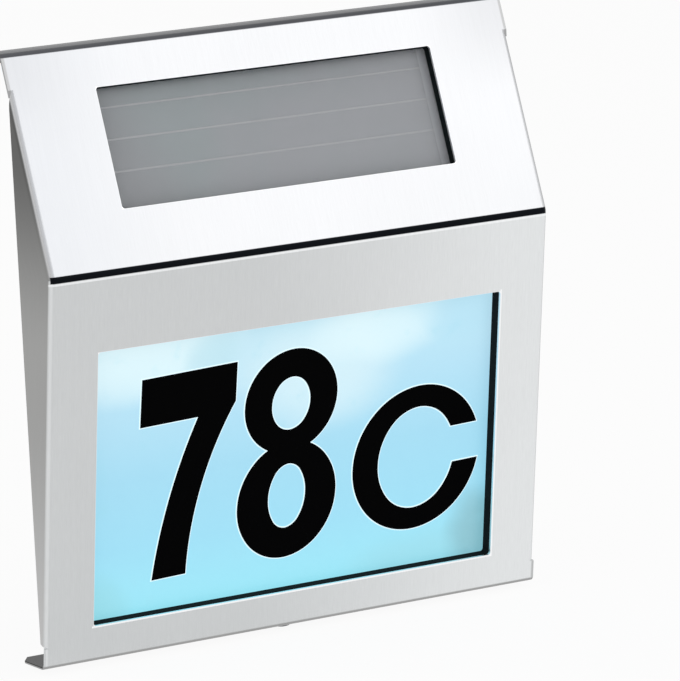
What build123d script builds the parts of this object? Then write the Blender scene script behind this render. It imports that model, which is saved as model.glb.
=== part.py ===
from build123d import *
import math
import os

# An illuminated house number sign for outdoors: a folded brushed steel cover with a number window
# in its leaning face and a solar window in its hood, hung on a hooked wall plate and locked from
# below by one screw. Behind the cover sits a black tray with the light box, battery and circuit.
#
# Millimetres. +Z is up, the face looks along -Y, the wall is the plane Y = 0, and X = 0 is the
# middle. While it is built, Z = 0 is the underside of the cover; save() moves the origin to the
# middle of the two wall screw holes.
#
# Two slanted frames are used. On the face, "up" runs from its bottom edge to the fold; on the
# hood, it runs from the fold to the top edge. "Depth" is measured inwards from the outer surface.

# ---------------------------------------------------------------- driving dimensions

WINDOW_WIDTH = 150.0
WINDOW_HEIGHT = 91.0
WINDOW_LOW = 12.0            # bottom edge of the face to the number window
WINDOW_TO_FOLD = 25.5        # number window to the fold, along the face
SIDE_MARGIN = 17.5           # number window to each side of the cover
SOLAR_WIDTH = 124.0
SOLAR_HEIGHT = 39.5
SOLAR_LOW = 19.5             # fold to the solar window, along the hood
SOLAR_TO_TOP = 14.0          # solar window to the top edge
WINDOW_CORNER = 1.0

FACE_LEAN = 8.0              # degrees that the face leans out of the vertical
FACE_STANDOFF = 18.0         # bottom front edge to the wall
HOOD_SLOPE = 70.0            # degrees of the hood above the horizontal
SHEET = 0.8                  # cover sheet
BEND_RADIUS = 1.2            # inside radius of the cover's bends
FOLD_RADIUS = 4.2            # inside radius of the fold between face and hood
WALL_GAP = 0.8               # rear edges of the cover to the wall

FLANGE_CHAMFER_X = 3.0       # corners of the bottom and top flanges
FLANGE_CHAMFER_Y = 4.0
RETURN_HEIGHT = 4.0          # lip turned down behind the hook
SIDE_LOW = 7.0               # height where the side flanges begin
SIDE_LOW_FULL = 8.3          # height where they reach their full depth
SIDE_LOW_DEPTH = 3.0         # their depth there
SIDE_TOP_SHARE = 0.84        # share of the hood's length where they run out

LAP = 4.0                    # how far frames and panels reach past their window
FRAME_STEP = 0.2             # each window frame opens this much wider than the sheet
NUMBER_RECESS = 5.0          # outer surface to the number panel
PANEL_THICKNESS = 2.5
NUMERAL_THICKNESS = 0.3
SOLAR_RECESS = 4.0           # outer surface to the solar glass
GLASS_THICKNESS = 0.8
CELL_THICKNESS = 0.3
BOARD_THICKNESS = 1.2        # every circuit board
CELL_COUNT = 4
CELL_GAP = 0.9
CELL_MARGIN = 2.0            # cells stop this short of the board's upper and lower edges
CELL_END_MARGIN = 6.5        # and this short of its ends

HOUSING_WALL = 1.6
HOUSING_CORNER = 2.0         # radius of the tray's rear edges
HOUSING_REAR_GAP = 4.8       # rear of the tray to the wall
HOUSING_LOW = 6.2            # underside of the tray above the underside of the cover
RIM_GAP = 0.2                # tray's rim to the inside of the cover
PART_GAP = 0.4               # panels to the tray's walls
LEDGE_OVERHANG = 3.5         # how far the ledges reach behind the panels
SHELF_CLEAR = 2.6            # number panel's top edge to the shelf over the light box

LED_COUNT = 6
LED_PITCH = 24.0
LED_SIZE = 5.0
LED_HEIGHT = 1.6
LED_BOARD_LENGTH = 140.0
LED_BOARD_DEPTH = 14.5
REFLECTOR_SHEET = 0.8
REFLECTOR_FOOT = 2.6

BATTERY_DIAMETER = 14.5
BATTERY_LENGTH = 50.5        # with its positive button
BUTTON_DIAMETER = 5.5
BUTTON_HEIGHT = 1.0
BATTERY_ROOM = 1.0           # round the battery in its box
CONTACT_STRIP = 0.4
CONTACT_SIZE = 10.0
DIMPLE_HEIGHT = 1.0
DIMPLE_DIAMETER = 4.0
SPRING_DEPTH = 5.2           # squeezed spring, from the box's wall to the battery
SPRING_WIDTH = 6.0
CONTACT_GAP = 0.1
LID_THICKNESS = 1.6
LID_LAP = 8.0                # beyond the opening at each end, where the screws are
LID_LAP_SIDE = 3.0
SEAL_WIDTH = 1.2
SEAL_THICKNESS = 0.8
SEAL_STEP = 0.3              # opening to the seal's groove
LID_SCREW_DIAMETER = 2.2
LID_SCREW_HEAD = 4.2
LID_SCREW_HEAD_HEIGHT = 1.0
LID_SCREW_LENGTH = 7.0
LID_BOSS_DIAMETER = 5.5

SWITCH_TO_SIDE = 17.4        # middle of the slider's travel to the tray's side wall
SWITCH_LENGTH = 9.0
SWITCH_HEIGHT = 4.4
SWITCH_DEPTH = 3.4
SLIDER_WIDTH = 2.4
SLIDER_HEIGHT = 2.0
SLIDER_SINK = 1.2            # how deep the slider runs in the switch
SLIDER_REACH = 1.4           # how far it stands out behind the tray
SLIDER_TRAVEL = 4.0
SLIDER_END_GAP = 0.3
SLIDER_RUN_GAP = 0.1

CONTROL_WIDTH = 30.0
CONTROL_HEIGHT = 26.0
BOARD_POST_DIAMETER = 4.4
BOARD_SCREW_DIAMETER = 2.0
BOARD_SCREW_HEAD = 3.8
BOARD_SCREW_HEAD_HEIGHT = 1.2
BOARD_SCREW_LENGTH = 3.6
CHIP_SIZE = 5.0
CHIP_HEIGHT = 1.5
COIL_DIAMETER = 5.0
COIL_HEIGHT = 4.0
CAPACITOR_DIAMETER = 5.0
CAPACITOR_HEIGHT = 7.0

STUD_DIAMETER = 3.0
STUD_LENGTH = 7.2
STUD_ABOVE_LOW = 12.0        # lower studs above the number window's lower edge
STUD_ABOVE_HIGH = 10.0       # upper studs above its upper edge
STUD_GAP = 0.1
LUG_THICKNESS = 2.5
LUG_WIDTH = 9.0
LUG_END = 3.5                # lug beyond the stud's axis
NUT_FLATS = 5.5
NUT_HEIGHT = 2.4

PLATE = 1.2                  # wall plate sheet
PLATE_BEND = 0.6             # inside radius of its bends
PLATE_WIDTH = 100.0
PLATE_HEIGHT = 60.0          # its wide part, up to the hook's shelf
PLATE_CORNER = 6.0
LIP_HEIGHT = 10.6            # underside of the hook's shelf to the swing axis in its lip
HOOK_WIDTH = 90.0
HOOK_REACH = 4.0             # wall to the front of the hook's lip
HOOK_GAP = 0.05              # lip's rounded top to the flange that hangs on it
NECK_WIDTH = 24.0
TAB_LOW = 1.5                # underside of the tab that takes the locking screw
TAB_REACH = 14.0
HOLE_DIAMETER = 4.5
HOLE_PITCH = 80.0
HOLE_ABOVE_EDGE = 22.0       # wall screws above the lower edge of the plate's wide part

LOCK_DIAMETER = 4.0
LOCK_STANDOFF = 9.0          # locking screw's axis to the wall
LOCK_HOLE = 4.5
LOCK_HEAD = 6.5
LOCK_HEAD_HEIGHT = 1.6
LOCK_HEAD_GAP = 0.3
LOCK_CROSS_WIDTH = 1.0
LOCK_CROSS_LENGTH = 3.6
LOCK_CROSS_DEPTH = 1.1
LOCK_NUT_DIAMETER = 7.5
LOCK_NUT_HEIGHT = 2.5
LOCK_THREAD_GAP = 0.05
LOCK_SHANK_OUT = 0.4         # shank beyond the nut

# Numerals: places across the face from X = 0, and up it from the number window's lower edge. They
# are drawn for a window as wide as the field, and grow wider or narrower with the real one.
NUMERAL_FIELD = 150.0
NUMERAL_RISE = 2.0           # degrees by which their lines rise to the right
NUMERAL_LEAN = 1.5           # degrees by which their stems lean to the right
NUMERAL_PIVOT = (-52.0, 10.0)  # foot of the first one, which stays in place

SEVEN_LEFT = -58.0
SEVEN_RIGHT = -23.1
SEVEN_TOP = 78.1
SEVEN_BOTTOM = 10.0
SEVEN_BAR = 15.9             # height of its bar
SEVEN_BAR_RIGHT = 12.9       # height of the bar's right-hand end
SEVEN_INNER_X = -36.8        # where the stem leaves the bar
SEVEN_MID = 38.6             # height at which the two points of the stem's middle are given
SEVEN_MID_LEFT = -45.6
SEVEN_MID_RIGHT = -34.7
SEVEN_FOOT_LEFT = -51.4
SEVEN_FOOT_RIGHT = -39.0

EIGHT_X = -2.2
EIGHT_TOP_CENTRE = 61.4
EIGHT_TOP_RADII = (17.3, 17.4)
EIGHT_TOP_HOLE_CENTRE = 60.6
EIGHT_TOP_HOLE_RADII = (7.2, 8.9)
EIGHT_LOW_CENTRE = 28.1
EIGHT_LOW_RADII = (18.5, 19.7)
EIGHT_LOW_HOLE_CENTRE = 29.3
EIGHT_LOW_HOLE_RADII = (7.0, 10.9)

LETTER_X = 46.9
LETTER_CENTRE = 33.3
LETTER_RADII = (24.3, 24.5)
LETTER_HOLE_RADII = (14.7, 17.3)
LETTER_MOUTH_LOW = 29.1
LETTER_MOUTH_HIGH = 41.7

# ---------------------------------------------------------------- derived places

LEAN = math.radians(FACE_LEAN)
SLOPE = math.radians(HOOD_SLOPE)
FACE_UP = (-math.sin(LEAN), math.cos(LEAN))            # (y, z) directions in the side view
FACE_IN = (math.cos(LEAN), math.sin(LEAN))
HOOD_UP = (math.cos(SLOPE), math.sin(SLOPE))
HOOD_IN = (math.sin(SLOPE), -math.cos(SLOPE))
BIG = 300.0                                            # longer than the whole sign
TOUCH = 0.01                                           # places closer than this are the same place

WINDOW_HIGH = WINDOW_LOW + WINDOW_HEIGHT
SOLAR_HIGH = SOLAR_LOW + SOLAR_HEIGHT
COVER_WIDTH = WINDOW_WIDTH + 2 * SIDE_MARGIN
FACE_LENGTH = WINDOW_HIGH + WINDOW_TO_FOLD             # bottom edge to fold
HOOD_LENGTH = SOLAR_HIGH + SOLAR_TO_TOP                # fold to top edge
FOLD = (FACE_LENGTH * FACE_UP[0] - FACE_STANDOFF, FACE_LENGTH * FACE_UP[1])
TOP = (FOLD[0] + HOOD_LENGTH * HOOD_UP[0], FOLD[1] + HOOD_LENGTH * HOOD_UP[1])

FACE = Plane(origin=(0, -FACE_STANDOFF, 0), x_dir=(1, 0, 0), z_dir=(0, -FACE_IN[0], -FACE_IN[1]))
HOOD = Plane(origin=(0, FOLD[0], FOLD[1]), x_dir=(1, 0, 0), z_dir=(0, -HOOD_IN[0], -HOOD_IN[1]))

PANEL_REAR = NUMBER_RECESS + PANEL_THICKNESS           # depths from the outer surface
CELLS_FRONT = SOLAR_RECESS + GLASS_THICKNESS
SOLAR_BOARD_FRONT = CELLS_FRONT + CELL_THICKNESS
SOLAR_BOARD_REAR = SOLAR_BOARD_FRONT + BOARD_THICKNESS
RIM = SHEET + RIM_GAP

INNER_HALF = WINDOW_WIDTH / 2 + LAP + PART_GAP         # tray, half widths
OUTER_HALF = INNER_HALF + HOUSING_WALL
STUD_X = (OUTER_HALF + COVER_WIDTH / 2 - SHEET) / 2    # midway between the tray and the cover's side
REAR_OUT = -HOUSING_REAR_GAP                           # tray's rear wall, y
REAR_IN = REAR_OUT - HOUSING_WALL
TRAY_TOP = SOLAR_HIGH + LAP + PART_GAP + HOUSING_WALL  # up the hood
SHELF_LOW = (WINDOW_HIGH + LAP) * FACE_UP[1] + SHELF_CLEAR + BOARD_THICKNESS
SHELF_HIGH = SHELF_LOW + HOUSING_WALL

BOX_HALF_HEIGHT = BATTERY_DIAMETER / 2 + BATTERY_ROOM
BATTERY_Z = SHELF_HIGH + BOX_HALF_HEIGHT
BATTERY_Y = REAR_IN - BATTERY_DIAMETER / 2 - BATTERY_ROOM / 2
BOX_FRONT = BATTERY_Y - BOX_HALF_HEIGHT
BOX_RIGHT = BATTERY_LENGTH / 2 + CONTACT_GAP + DIMPLE_HEIGHT + CONTACT_STRIP
BOX_LEFT = -BATTERY_LENGTH / 2 - CONTACT_GAP - SPRING_DEPTH
BOX_MIDDLE = (BOX_LEFT + BOX_RIGHT) / 2
BOX_LENGTH = BOX_RIGHT - BOX_LEFT
LID_REAR = REAR_OUT + LID_THICKNESS
LID_SCREW_XS = (BOX_LEFT - LID_LAP / 2 - HOUSING_WALL / 2, BOX_RIGHT + LID_LAP / 2 + HOUSING_WALL / 2)

SWITCH_X = SWITCH_TO_SIDE - INNER_HALF                 # middle of the slider's travel
SWITCH_Z = BATTERY_Z
SLIDER_REST_X = SWITCH_X - SLIDER_TRAVEL / 2
SLOT_LENGTH = SLIDER_TRAVEL + SLIDER_WIDTH + 2 * SLIDER_END_GAP
CONTROL_FACE_Y = REAR_IN - SWITCH_DEPTH                # the board's side towards the wall
CONTROL_FRONT_Y = CONTROL_FACE_Y - BOARD_THICKNESS
CONTROL_Z = SHELF_HIGH + PART_GAP + CONTROL_HEIGHT / 2
BOARD_POST_XS = (SWITCH_X - CONTROL_WIDTH / 2 + BOARD_POST_DIAMETER,
                 SWITCH_X + CONTROL_WIDTH / 2 - BOARD_POST_DIAMETER)
BOARD_POST_Z = CONTROL_Z + CONTROL_HEIGHT / 2 - BOARD_POST_DIAMETER

PIVOT_Y = PLATE / 2 - HOOK_REACH                       # the cover hangs and swings about this line
PIVOT_Z = TOP[1] - SHEET - HOOK_GAP - PLATE / 2
HOOK_BASE = PIVOT_Z - LIP_HEIGHT
PLATE_LOW = HOOK_BASE - PLATE_HEIGHT
HOLE_HEIGHT = PLATE_LOW + HOLE_ABOVE_EDGE
LOCK_NUT_LOW = TAB_LOW + PLATE


def face_y(height, depth):
    """Y of the plane at this depth behind the face, at this height."""
    return -FACE_STANDOFF - height * math.tan(LEAN) + depth / math.cos(LEAN)


def hood_point(up, depth):
    """(y, z) of a place on the hood."""
    return (FOLD[0] + up * HOOD_UP[0] + depth * HOOD_IN[0],
            FOLD[1] + up * HOOD_UP[1] + depth * HOOD_IN[1])


def fold_point(depth):
    """(y, z) of the corner that the fold makes at this depth."""
    reach = depth / (1 + FACE_IN[0] * HOOD_IN[0] + FACE_IN[1] * HOOD_IN[1])
    return (FOLD[0] + reach * (FACE_IN[0] + HOOD_IN[0]), FOLD[1] + reach * (FACE_IN[1] + HOOD_IN[1]))


# ---------------------------------------------------------------- basic shapes

def prism(points, half_width):
    """A side-view outline of (y, z) points, carried across the width."""
    return extrude(Plane.YZ * make_face(Polyline(*points, close=True)), half_width, both=True)


def slab(plane, width, low, high, front, rear, x=0.0, corner=0.0):
    """A plate in a slanted plane: its width, its ends up the plane and its two depths."""
    if corner:
        outline = RectangleRounded(width, high - low, corner)
    else:
        outline = Rectangle(width, high - low)
    placed = plane.offset(-front) * Pos(x, (low + high) / 2) * outline
    return extrude(placed, -(rear - front))


def block(x_low, x_high, y_low, y_high, z_low, z_high):
    """A block from its limits."""
    centre = Pos((x_low + x_high) / 2, (y_low + y_high) / 2, (z_low + z_high) / 2)
    return centre * Box(x_high - x_low, y_high - y_low, z_high - z_low)


def rod_y(diameter, x, z, y_low, y_high):
    """A round bar along Y."""
    return Pos(x, (y_low + y_high) / 2, z) * Rot(90, 0, 0) * Cylinder(diameter / 2, y_high - y_low)


def rod_z(diameter, x, y, z_low, z_high):
    """A round bar along Z."""
    return Pos(x, y, (z_low + z_high) / 2) * Cylinder(diameter / 2, z_high - z_low)


def folded_strip(points, thickness, side, bends, plane=Plane.YZ, half_width=1.0):
    """Sheet folded along a path of its outer surface, and carried across; bends are inside radii."""
    path = FilletPolyline(*points, radius=[bend + thickness for bend in bends])
    outline = make_face(offset(path, amount=thickness, side=side, kind=Kind.INTERSECTION, closed=True))
    return extrude(plane * outline, half_width, both=True)


def ring(plane, width, low, high, front, rear, lap, step):
    """A frame behind a window: the window grown by the lap, less the window grown by the step."""
    outer = slab(plane, width + 2 * lap, low - lap, high + lap, front, rear, corner=WINDOW_CORNER)
    hole = slab(plane, width + 2 * step, low - step, high + step, front - 1, rear + 1, corner=WINDOW_CORNER)
    return outer - hole


# ---------------------------------------------------------------- cover

def cover_strip():
    """The face, hood and both flanges as one folded strip at full width."""
    rear = -WALL_GAP
    path = [(rear, 0), (-FACE_STANDOFF, 0), FOLD, TOP, (rear, TOP[1]), (rear, TOP[1] - RETURN_HEIGHT)]
    bends = [BEND_RADIUS, FOLD_RADIUS, BEND_RADIUS, BEND_RADIUS]
    return folded_strip(path, SHEET, Side.RIGHT, bends, half_width=COVER_WIDTH / 2)


def side_region():
    """Side view of what the side flanges cover, from far in front of the sign to their rear edge."""
    top = SIDE_TOP_SHARE * HOOD_LENGTH
    rear_low = (face_y(SIDE_LOW_FULL, SIDE_LOW_DEPTH), SIDE_LOW_FULL)
    return [(face_y(SIDE_LOW, 0), SIDE_LOW), rear_low, hood_point(top, 0), hood_point(top, -BIG),
            (-BIG, SIDE_LOW)]


def bent_shell(depth):
    """Solid inside the cover's surface at this depth, rounded where the sheet bends."""
    half = COVER_WIDTH / 2 - depth
    fold = fold_point(depth)
    top = hood_point(BIG, depth)
    body = prism([(face_y(-BIG, depth), -BIG), fold, top, (BIG, top[1]), (BIG, -BIG)], half)
    folds = body.edges().filter_by(Axis.X).filter_by(lambda e: abs(e.center().Z - fold[1]) < TOUCH)
    body = fillet(folds, FOLD_RADIUS + SHEET - depth)
    sides = body.edges().filter_by(lambda e: abs(e.center().X) > half - TOUCH)
    fronts = sides.filter_by(lambda e: e.center().Y < fold[0] + BIG / 2 and abs(e.center().Z) < BIG)
    return fillet(fronts, BEND_RADIUS + SHEET - depth)


def flange_corners():
    """The corners cut off the rear of the bottom and top flanges."""
    half = COVER_WIDTH / 2
    rear = -WALL_GAP
    corner = [(half - FLANGE_CHAMFER_X, rear + 1), (half - FLANGE_CHAMFER_X, rear),
              (half, rear - FLANGE_CHAMFER_Y), (half + 1, rear - FLANGE_CHAMFER_Y), (half + 1, rear + 1)]
    cut = extrude(make_face(Polyline(*corner, close=True)), BIG, both=True)
    return cut + mirror(cut, Plane.YZ)


def front_cover():
    region = prism(side_region(), COVER_WIDTH)
    sides = (bent_shell(0) - bent_shell(SHEET)) & region
    cover = (cover_strip() - region) + sides - flange_corners()
    cover -= slab(FACE, WINDOW_WIDTH, WINDOW_LOW, WINDOW_HIGH, -1, SHEET + 1, corner=WINDOW_CORNER)
    cover -= slab(HOOD, SOLAR_WIDTH, SOLAR_LOW, SOLAR_HIGH, -1, SHEET + 1, corner=WINDOW_CORNER)
    slot = block(-LOCK_HOLE / 2, LOCK_HOLE / 2, -LOCK_STANDOFF, 0, -1, SHEET + 1)
    return cover - slot - rod_z(LOCK_HOLE, 0, -LOCK_STANDOFF, -1, SHEET + 1)


# ---------------------------------------------------------------- number window

def window_frame():
    return ring(FACE, WINDOW_WIDTH, WINDOW_LOW, WINDOW_HIGH, SHEET, NUMBER_RECESS, LAP, FRAME_STEP)


def number_panel():
    return slab(FACE, WINDOW_WIDTH + 2 * LAP, WINDOW_LOW - LAP, WINDOW_HIGH + LAP,
                NUMBER_RECESS, PANEL_REAR, corner=WINDOW_CORNER)


def slanted(x, up):
    """A point of a numeral, fitted to the window's width and moved by the numerals' rise and lean."""
    along = x - NUMERAL_PIVOT[0]
    height = up - NUMERAL_PIVOT[1]
    return (x * (WINDOW_WIDTH / NUMERAL_FIELD) + height * math.tan(math.radians(NUMERAL_LEAN)),
            up + along * math.tan(math.radians(NUMERAL_RISE)))


def outline_face(curves):
    """The face inside a closed chain of curves."""
    return make_face([edge for curve in curves for edge in curve.edges()])


def oval(x, up, radii):
    """An oval of a numeral, as eight arcs."""
    places = [i * math.pi / 8 for i in range(16)]
    points = [slanted(x + radii[0] * math.cos(a), up + radii[1] * math.sin(a)) for a in places]
    arcs = [ThreePointArc(points[i], points[i + 1], points[(i + 2) % 16]) for i in range(0, 16, 2)]
    return outline_face(arcs)


def numeral(outline):
    """A numeral cut from film, stuck to the front of the number panel."""
    front = FACE.offset(NUMERAL_THICKNESS - NUMBER_RECESS) * Pos(0, WINDOW_LOW)
    return extrude(front * outline, -NUMERAL_THICKNESS)


def number_seven():
    bar_low = SEVEN_TOP - SEVEN_BAR
    corners = [(SEVEN_RIGHT, SEVEN_TOP - SEVEN_BAR_RIGHT), (SEVEN_RIGHT, SEVEN_TOP), (SEVEN_LEFT, SEVEN_TOP),
               (SEVEN_LEFT, bar_low), (SEVEN_INNER_X, bar_low)]
    bar = [slanted(*corner) for corner in corners]
    foot_left = slanted(SEVEN_FOOT_LEFT, SEVEN_BOTTOM)
    foot_right = slanted(SEVEN_FOOT_RIGHT, SEVEN_BOTTOM)
    return numeral(outline_face([
        Polyline(*bar),
        ThreePointArc(bar[-1], slanted(SEVEN_MID_LEFT, SEVEN_MID), foot_left),
        Line(foot_left, foot_right),
        ThreePointArc(foot_right, slanted(SEVEN_MID_RIGHT, SEVEN_MID), bar[0]),
    ]))


def number_eight():
    outline = oval(EIGHT_X, EIGHT_TOP_CENTRE, EIGHT_TOP_RADII)
    outline += oval(EIGHT_X, EIGHT_LOW_CENTRE, EIGHT_LOW_RADII)
    outline -= oval(EIGHT_X, EIGHT_TOP_HOLE_CENTRE, EIGHT_TOP_HOLE_RADII)
    outline -= oval(EIGHT_X, EIGHT_LOW_HOLE_CENTRE, EIGHT_LOW_HOLE_RADII)
    return numeral(outline)


def letter_c():
    past = LETTER_X + 2 * LETTER_RADII[0]
    mouth = [(LETTER_X, LETTER_MOUTH_LOW), (past, LETTER_MOUTH_LOW), (past, LETTER_MOUTH_HIGH),
             (LETTER_X, LETTER_MOUTH_HIGH)]
    outline = oval(LETTER_X, LETTER_CENTRE, LETTER_RADII) - oval(LETTER_X, LETTER_CENTRE, LETTER_HOLE_RADII)
    return numeral(outline - make_face(Polyline(*[slanted(*corner) for corner in mouth], close=True)))


# ---------------------------------------------------------------- solar window

def solar_frame():
    return ring(HOOD, SOLAR_WIDTH, SOLAR_LOW, SOLAR_HIGH, SHEET, SOLAR_RECESS, LAP, FRAME_STEP)


def solar_sheet(front, rear, margin=0.0):
    """One layer of the solar panel, which reaches as far as its frame."""
    reach = LAP - margin
    return slab(HOOD, SOLAR_WIDTH + 2 * reach, SOLAR_LOW - reach, SOLAR_HIGH + reach, front, rear)


def solar_cells():
    """Strips that lie across the panel, one above the other."""
    low = SOLAR_LOW - LAP + CELL_MARGIN
    span = SOLAR_HEIGHT + 2 * (LAP - CELL_MARGIN)
    height = (span - (CELL_COUNT - 1) * CELL_GAP) / CELL_COUNT
    width = SOLAR_WIDTH + 2 * (LAP - CELL_END_MARGIN)
    strips = []
    for index in range(CELL_COUNT):
        start = low + index * (height + CELL_GAP)
        strips.append(slab(HOOD, width, start, start + height, CELLS_FRONT, SOLAR_BOARD_FRONT))
    return strips


# ---------------------------------------------------------------- tray

def tray_outline(wall, rim):
    """Side view of the tray, its walls moved in by this much and its rim at this depth."""
    low = HOUSING_LOW + wall
    high = TRAY_TOP - wall
    rear = REAR_OUT - wall
    rim_high = hood_point(high, rim)
    rear_high = rim_high[1] - (rear - rim_high[0]) / math.tan(SLOPE)
    return [(face_y(low, rim), low), fold_point(rim), rim_high, (rear, rear_high), (rear, low)]


def tray_ledges():
    """Ledges behind the two panels, and the ribs that centre the solar panel."""
    number = slab(FACE, 2 * INNER_HALF + HOUSING_WALL, 0, WINDOW_HIGH + LAP + SHELF_CLEAR,
                  PANEL_REAR, PANEL_REAR + HOUSING_WALL)
    number -= slab(FACE, WINDOW_WIDTH + 2 * (LAP - LEDGE_OVERHANG), WINDOW_LOW - LAP + LEDGE_OVERHANG,
                   WINDOW_HIGH + LAP - LEDGE_OVERHANG, 0, PANEL_REAR + LAP)
    solar_low = SOLAR_LOW - LAP
    solar_high = SOLAR_HIGH + LAP
    solar = slab(HOOD, 2 * INNER_HALF + HOUSING_WALL, solar_low, TRAY_TOP,
                 SOLAR_BOARD_REAR, SOLAR_BOARD_REAR + HOUSING_WALL)
    solar -= slab(HOOD, SOLAR_WIDTH, solar_low + LEDGE_OVERHANG, solar_high - LEDGE_OVERHANG,
                  0, SOLAR_BOARD_REAR + HOUSING_WALL)
    for side in (-1, 1):
        rib_x = side * (SOLAR_WIDTH / 2 + LAP + PART_GAP + HOUSING_WALL / 2)
        solar += slab(HOOD, HOUSING_WALL, solar_low, TRAY_TOP, RIM, SOLAR_BOARD_REAR + HOUSING_WALL, x=rib_x)
    return number + solar


def tray_shelf():
    """The shelf over the light box, from the number ledge to the rear wall."""
    front = face_y(SHELF_HIGH, PANEL_REAR)
    return block(-INNER_HALF, INNER_HALF, front, REAR_IN, SHELF_LOW, SHELF_HIGH)


def battery_box(wall):
    """The battery's box, grown by this wall on every side but the rear."""
    return block(BOX_LEFT - wall, BOX_RIGHT + wall, BOX_FRONT - wall, REAR_OUT,
                 BATTERY_Z - BOX_HALF_HEIGHT - wall, BATTERY_Z + BOX_HALF_HEIGHT + wall)


def box_plate(grow, y_low, y_high, corner, ends=0.0):
    """A rounded plate over the battery box's opening, grown all round and again at its ends."""
    outline = RectangleRounded(BOX_LENGTH + 2 * (grow + ends), 2 * (BOX_HALF_HEIGHT + grow), corner)
    face = Plane(origin=(BOX_MIDDLE, y_high, BATTERY_Z), x_dir=(1, 0, 0), z_dir=(0, -1, 0)) * outline
    return extrude(face, y_high - y_low)


def seal_ring():
    """The seal's ring in its groove in the rear wall."""
    low = REAR_OUT - SEAL_THICKNESS
    outer = box_plate(SEAL_STEP + SEAL_WIDTH, low, REAR_OUT, WINDOW_CORNER + SEAL_WIDTH)
    return outer - box_plate(SEAL_STEP, low - 1, REAR_OUT + 1, WINDOW_CORNER)


def lug(x, up):
    """An ear beside the tray with a hole for a stud."""
    side = math.copysign(1, x)
    inner = side * INNER_HALF
    outer = x + side * LUG_END
    ear = slab(FACE, abs(outer - inner), up - LUG_WIDTH / 2, up + LUG_WIDTH / 2, SHEET,
               SHEET + LUG_THICKNESS, x=(inner + outer) / 2)
    hole = FACE * Pos(x, up) * Circle(STUD_DIAMETER / 2 + STUD_GAP)
    return ear - extrude(hole, -2 * LUG_THICKNESS)


def stud_places():
    """X and the height up the face of every stud."""
    heights = (WINDOW_LOW + STUD_ABOVE_LOW, WINDOW_HIGH + STUD_ABOVE_HIGH)
    return [(side * STUD_X, up) for side in (-1, 1) for up in heights]


def rear_housing():
    outer = prism(tray_outline(0, RIM), OUTER_HALF)
    rear_edges = outer.edges().filter_by(Axis.Z).filter_by(lambda e: abs(e.center().Y - REAR_OUT) < TOUCH)
    outer = fillet(rear_edges, HOUSING_CORNER)
    tray = outer - prism(tray_outline(HOUSING_WALL, -LAP), INNER_HALF)
    tray += (tray_ledges() + tray_shelf() + battery_box(HOUSING_WALL)) & outer
    for x in LID_SCREW_XS:
        tray += rod_y(LID_BOSS_DIAMETER, x, BATTERY_Z, REAR_IN - LID_SCREW_LENGTH, REAR_IN)
    for x in BOARD_POST_XS:
        tray += rod_y(BOARD_POST_DIAMETER, x, BOARD_POST_Z, CONTROL_FACE_Y, REAR_IN)
    tray -= battery_box(0) + seal_ring()
    for x in LID_SCREW_XS:
        tray -= rod_y(LID_SCREW_DIAMETER + 2 * LOCK_THREAD_GAP, x, BATTERY_Z,
                      LID_REAR - LID_SCREW_LENGTH - PART_GAP, REAR_OUT)
    for x in BOARD_POST_XS:
        tray -= rod_y(BOARD_SCREW_DIAMETER + 2 * LOCK_THREAD_GAP, x, BOARD_POST_Z,
                      CONTROL_FACE_Y, CONTROL_FRONT_Y + BOARD_SCREW_LENGTH + PART_GAP)
    slot = SLIDER_HEIGHT / 2 + SLIDER_RUN_GAP
    tray -= block(SWITCH_X - SLOT_LENGTH / 2, SWITCH_X + SLOT_LENGTH / 2, REAR_IN, REAR_OUT,
                  SWITCH_Z - slot, SWITCH_Z + slot)
    for x, up in stud_places():
        tray += lug(x, up)
    return tray


def weld_studs():
    shank = Circle(STUD_DIAMETER / 2)
    return [extrude(FACE.offset(-SHEET) * Pos(x, up) * shank, -STUD_LENGTH) for x, up in stud_places()]


def housing_nuts():
    """Hexagon nuts, one on each stud."""
    nuts = []
    seat = SHEET + LUG_THICKNESS
    for x, up in stud_places():
        place = FACE.offset(-seat) * Pos(x, up)
        nut = extrude(place * RegularPolygon(NUT_FLATS / 2, 6, major_radius=False), -NUT_HEIGHT)
        nuts.append(nut - extrude(place * Circle(STUD_DIAMETER / 2 + LOCK_THREAD_GAP), -NUT_HEIGHT))
    return nuts


# ---------------------------------------------------------------- light

def led_board():
    front = face_y(SHELF_LOW, PANEL_REAR + HOUSING_WALL + PART_GAP)
    half = LED_BOARD_LENGTH / 2
    return block(-half, half, front, front + LED_BOARD_DEPTH, SHELF_LOW - BOARD_THICKNESS, SHELF_LOW)


def leds():
    """Lamps under the board, which shine down into the light box."""
    middle = face_y(SHELF_LOW, PANEL_REAR + HOUSING_WALL + PART_GAP) + LED_BOARD_DEPTH / 2
    high = SHELF_LOW - BOARD_THICKNESS
    first = -(LED_COUNT - 1) * LED_PITCH / 2
    half = LED_SIZE / 2
    lamps = []
    for index in range(LED_COUNT):
        x = first + index * LED_PITCH
        lamps.append(block(x - half, x + half, middle - half, middle + half, high - LED_HEIGHT, high))
    return lamps


def reflector():
    """A white sheet down the rear of the light box, turned forwards at its foot."""
    low = HOUSING_LOW + HOUSING_WALL + PART_GAP
    high = SHELF_LOW - BOARD_THICKNESS - PART_GAP
    path = [(REAR_IN - REFLECTOR_FOOT, low), (REAR_IN, low), (REAR_IN, high)]
    return folded_strip(path, REFLECTOR_SHEET, Side.LEFT, [PLATE_BEND], half_width=WINDOW_WIDTH / 2)


# ---------------------------------------------------------------- battery

def along_x(diameter, x_low, x_high):
    """A round bar on the battery's axis."""
    middle = Pos((x_low + x_high) / 2, BATTERY_Y, BATTERY_Z)
    return middle * Rot(0, 90, 0) * Cylinder(diameter / 2, x_high - x_low)


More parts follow.
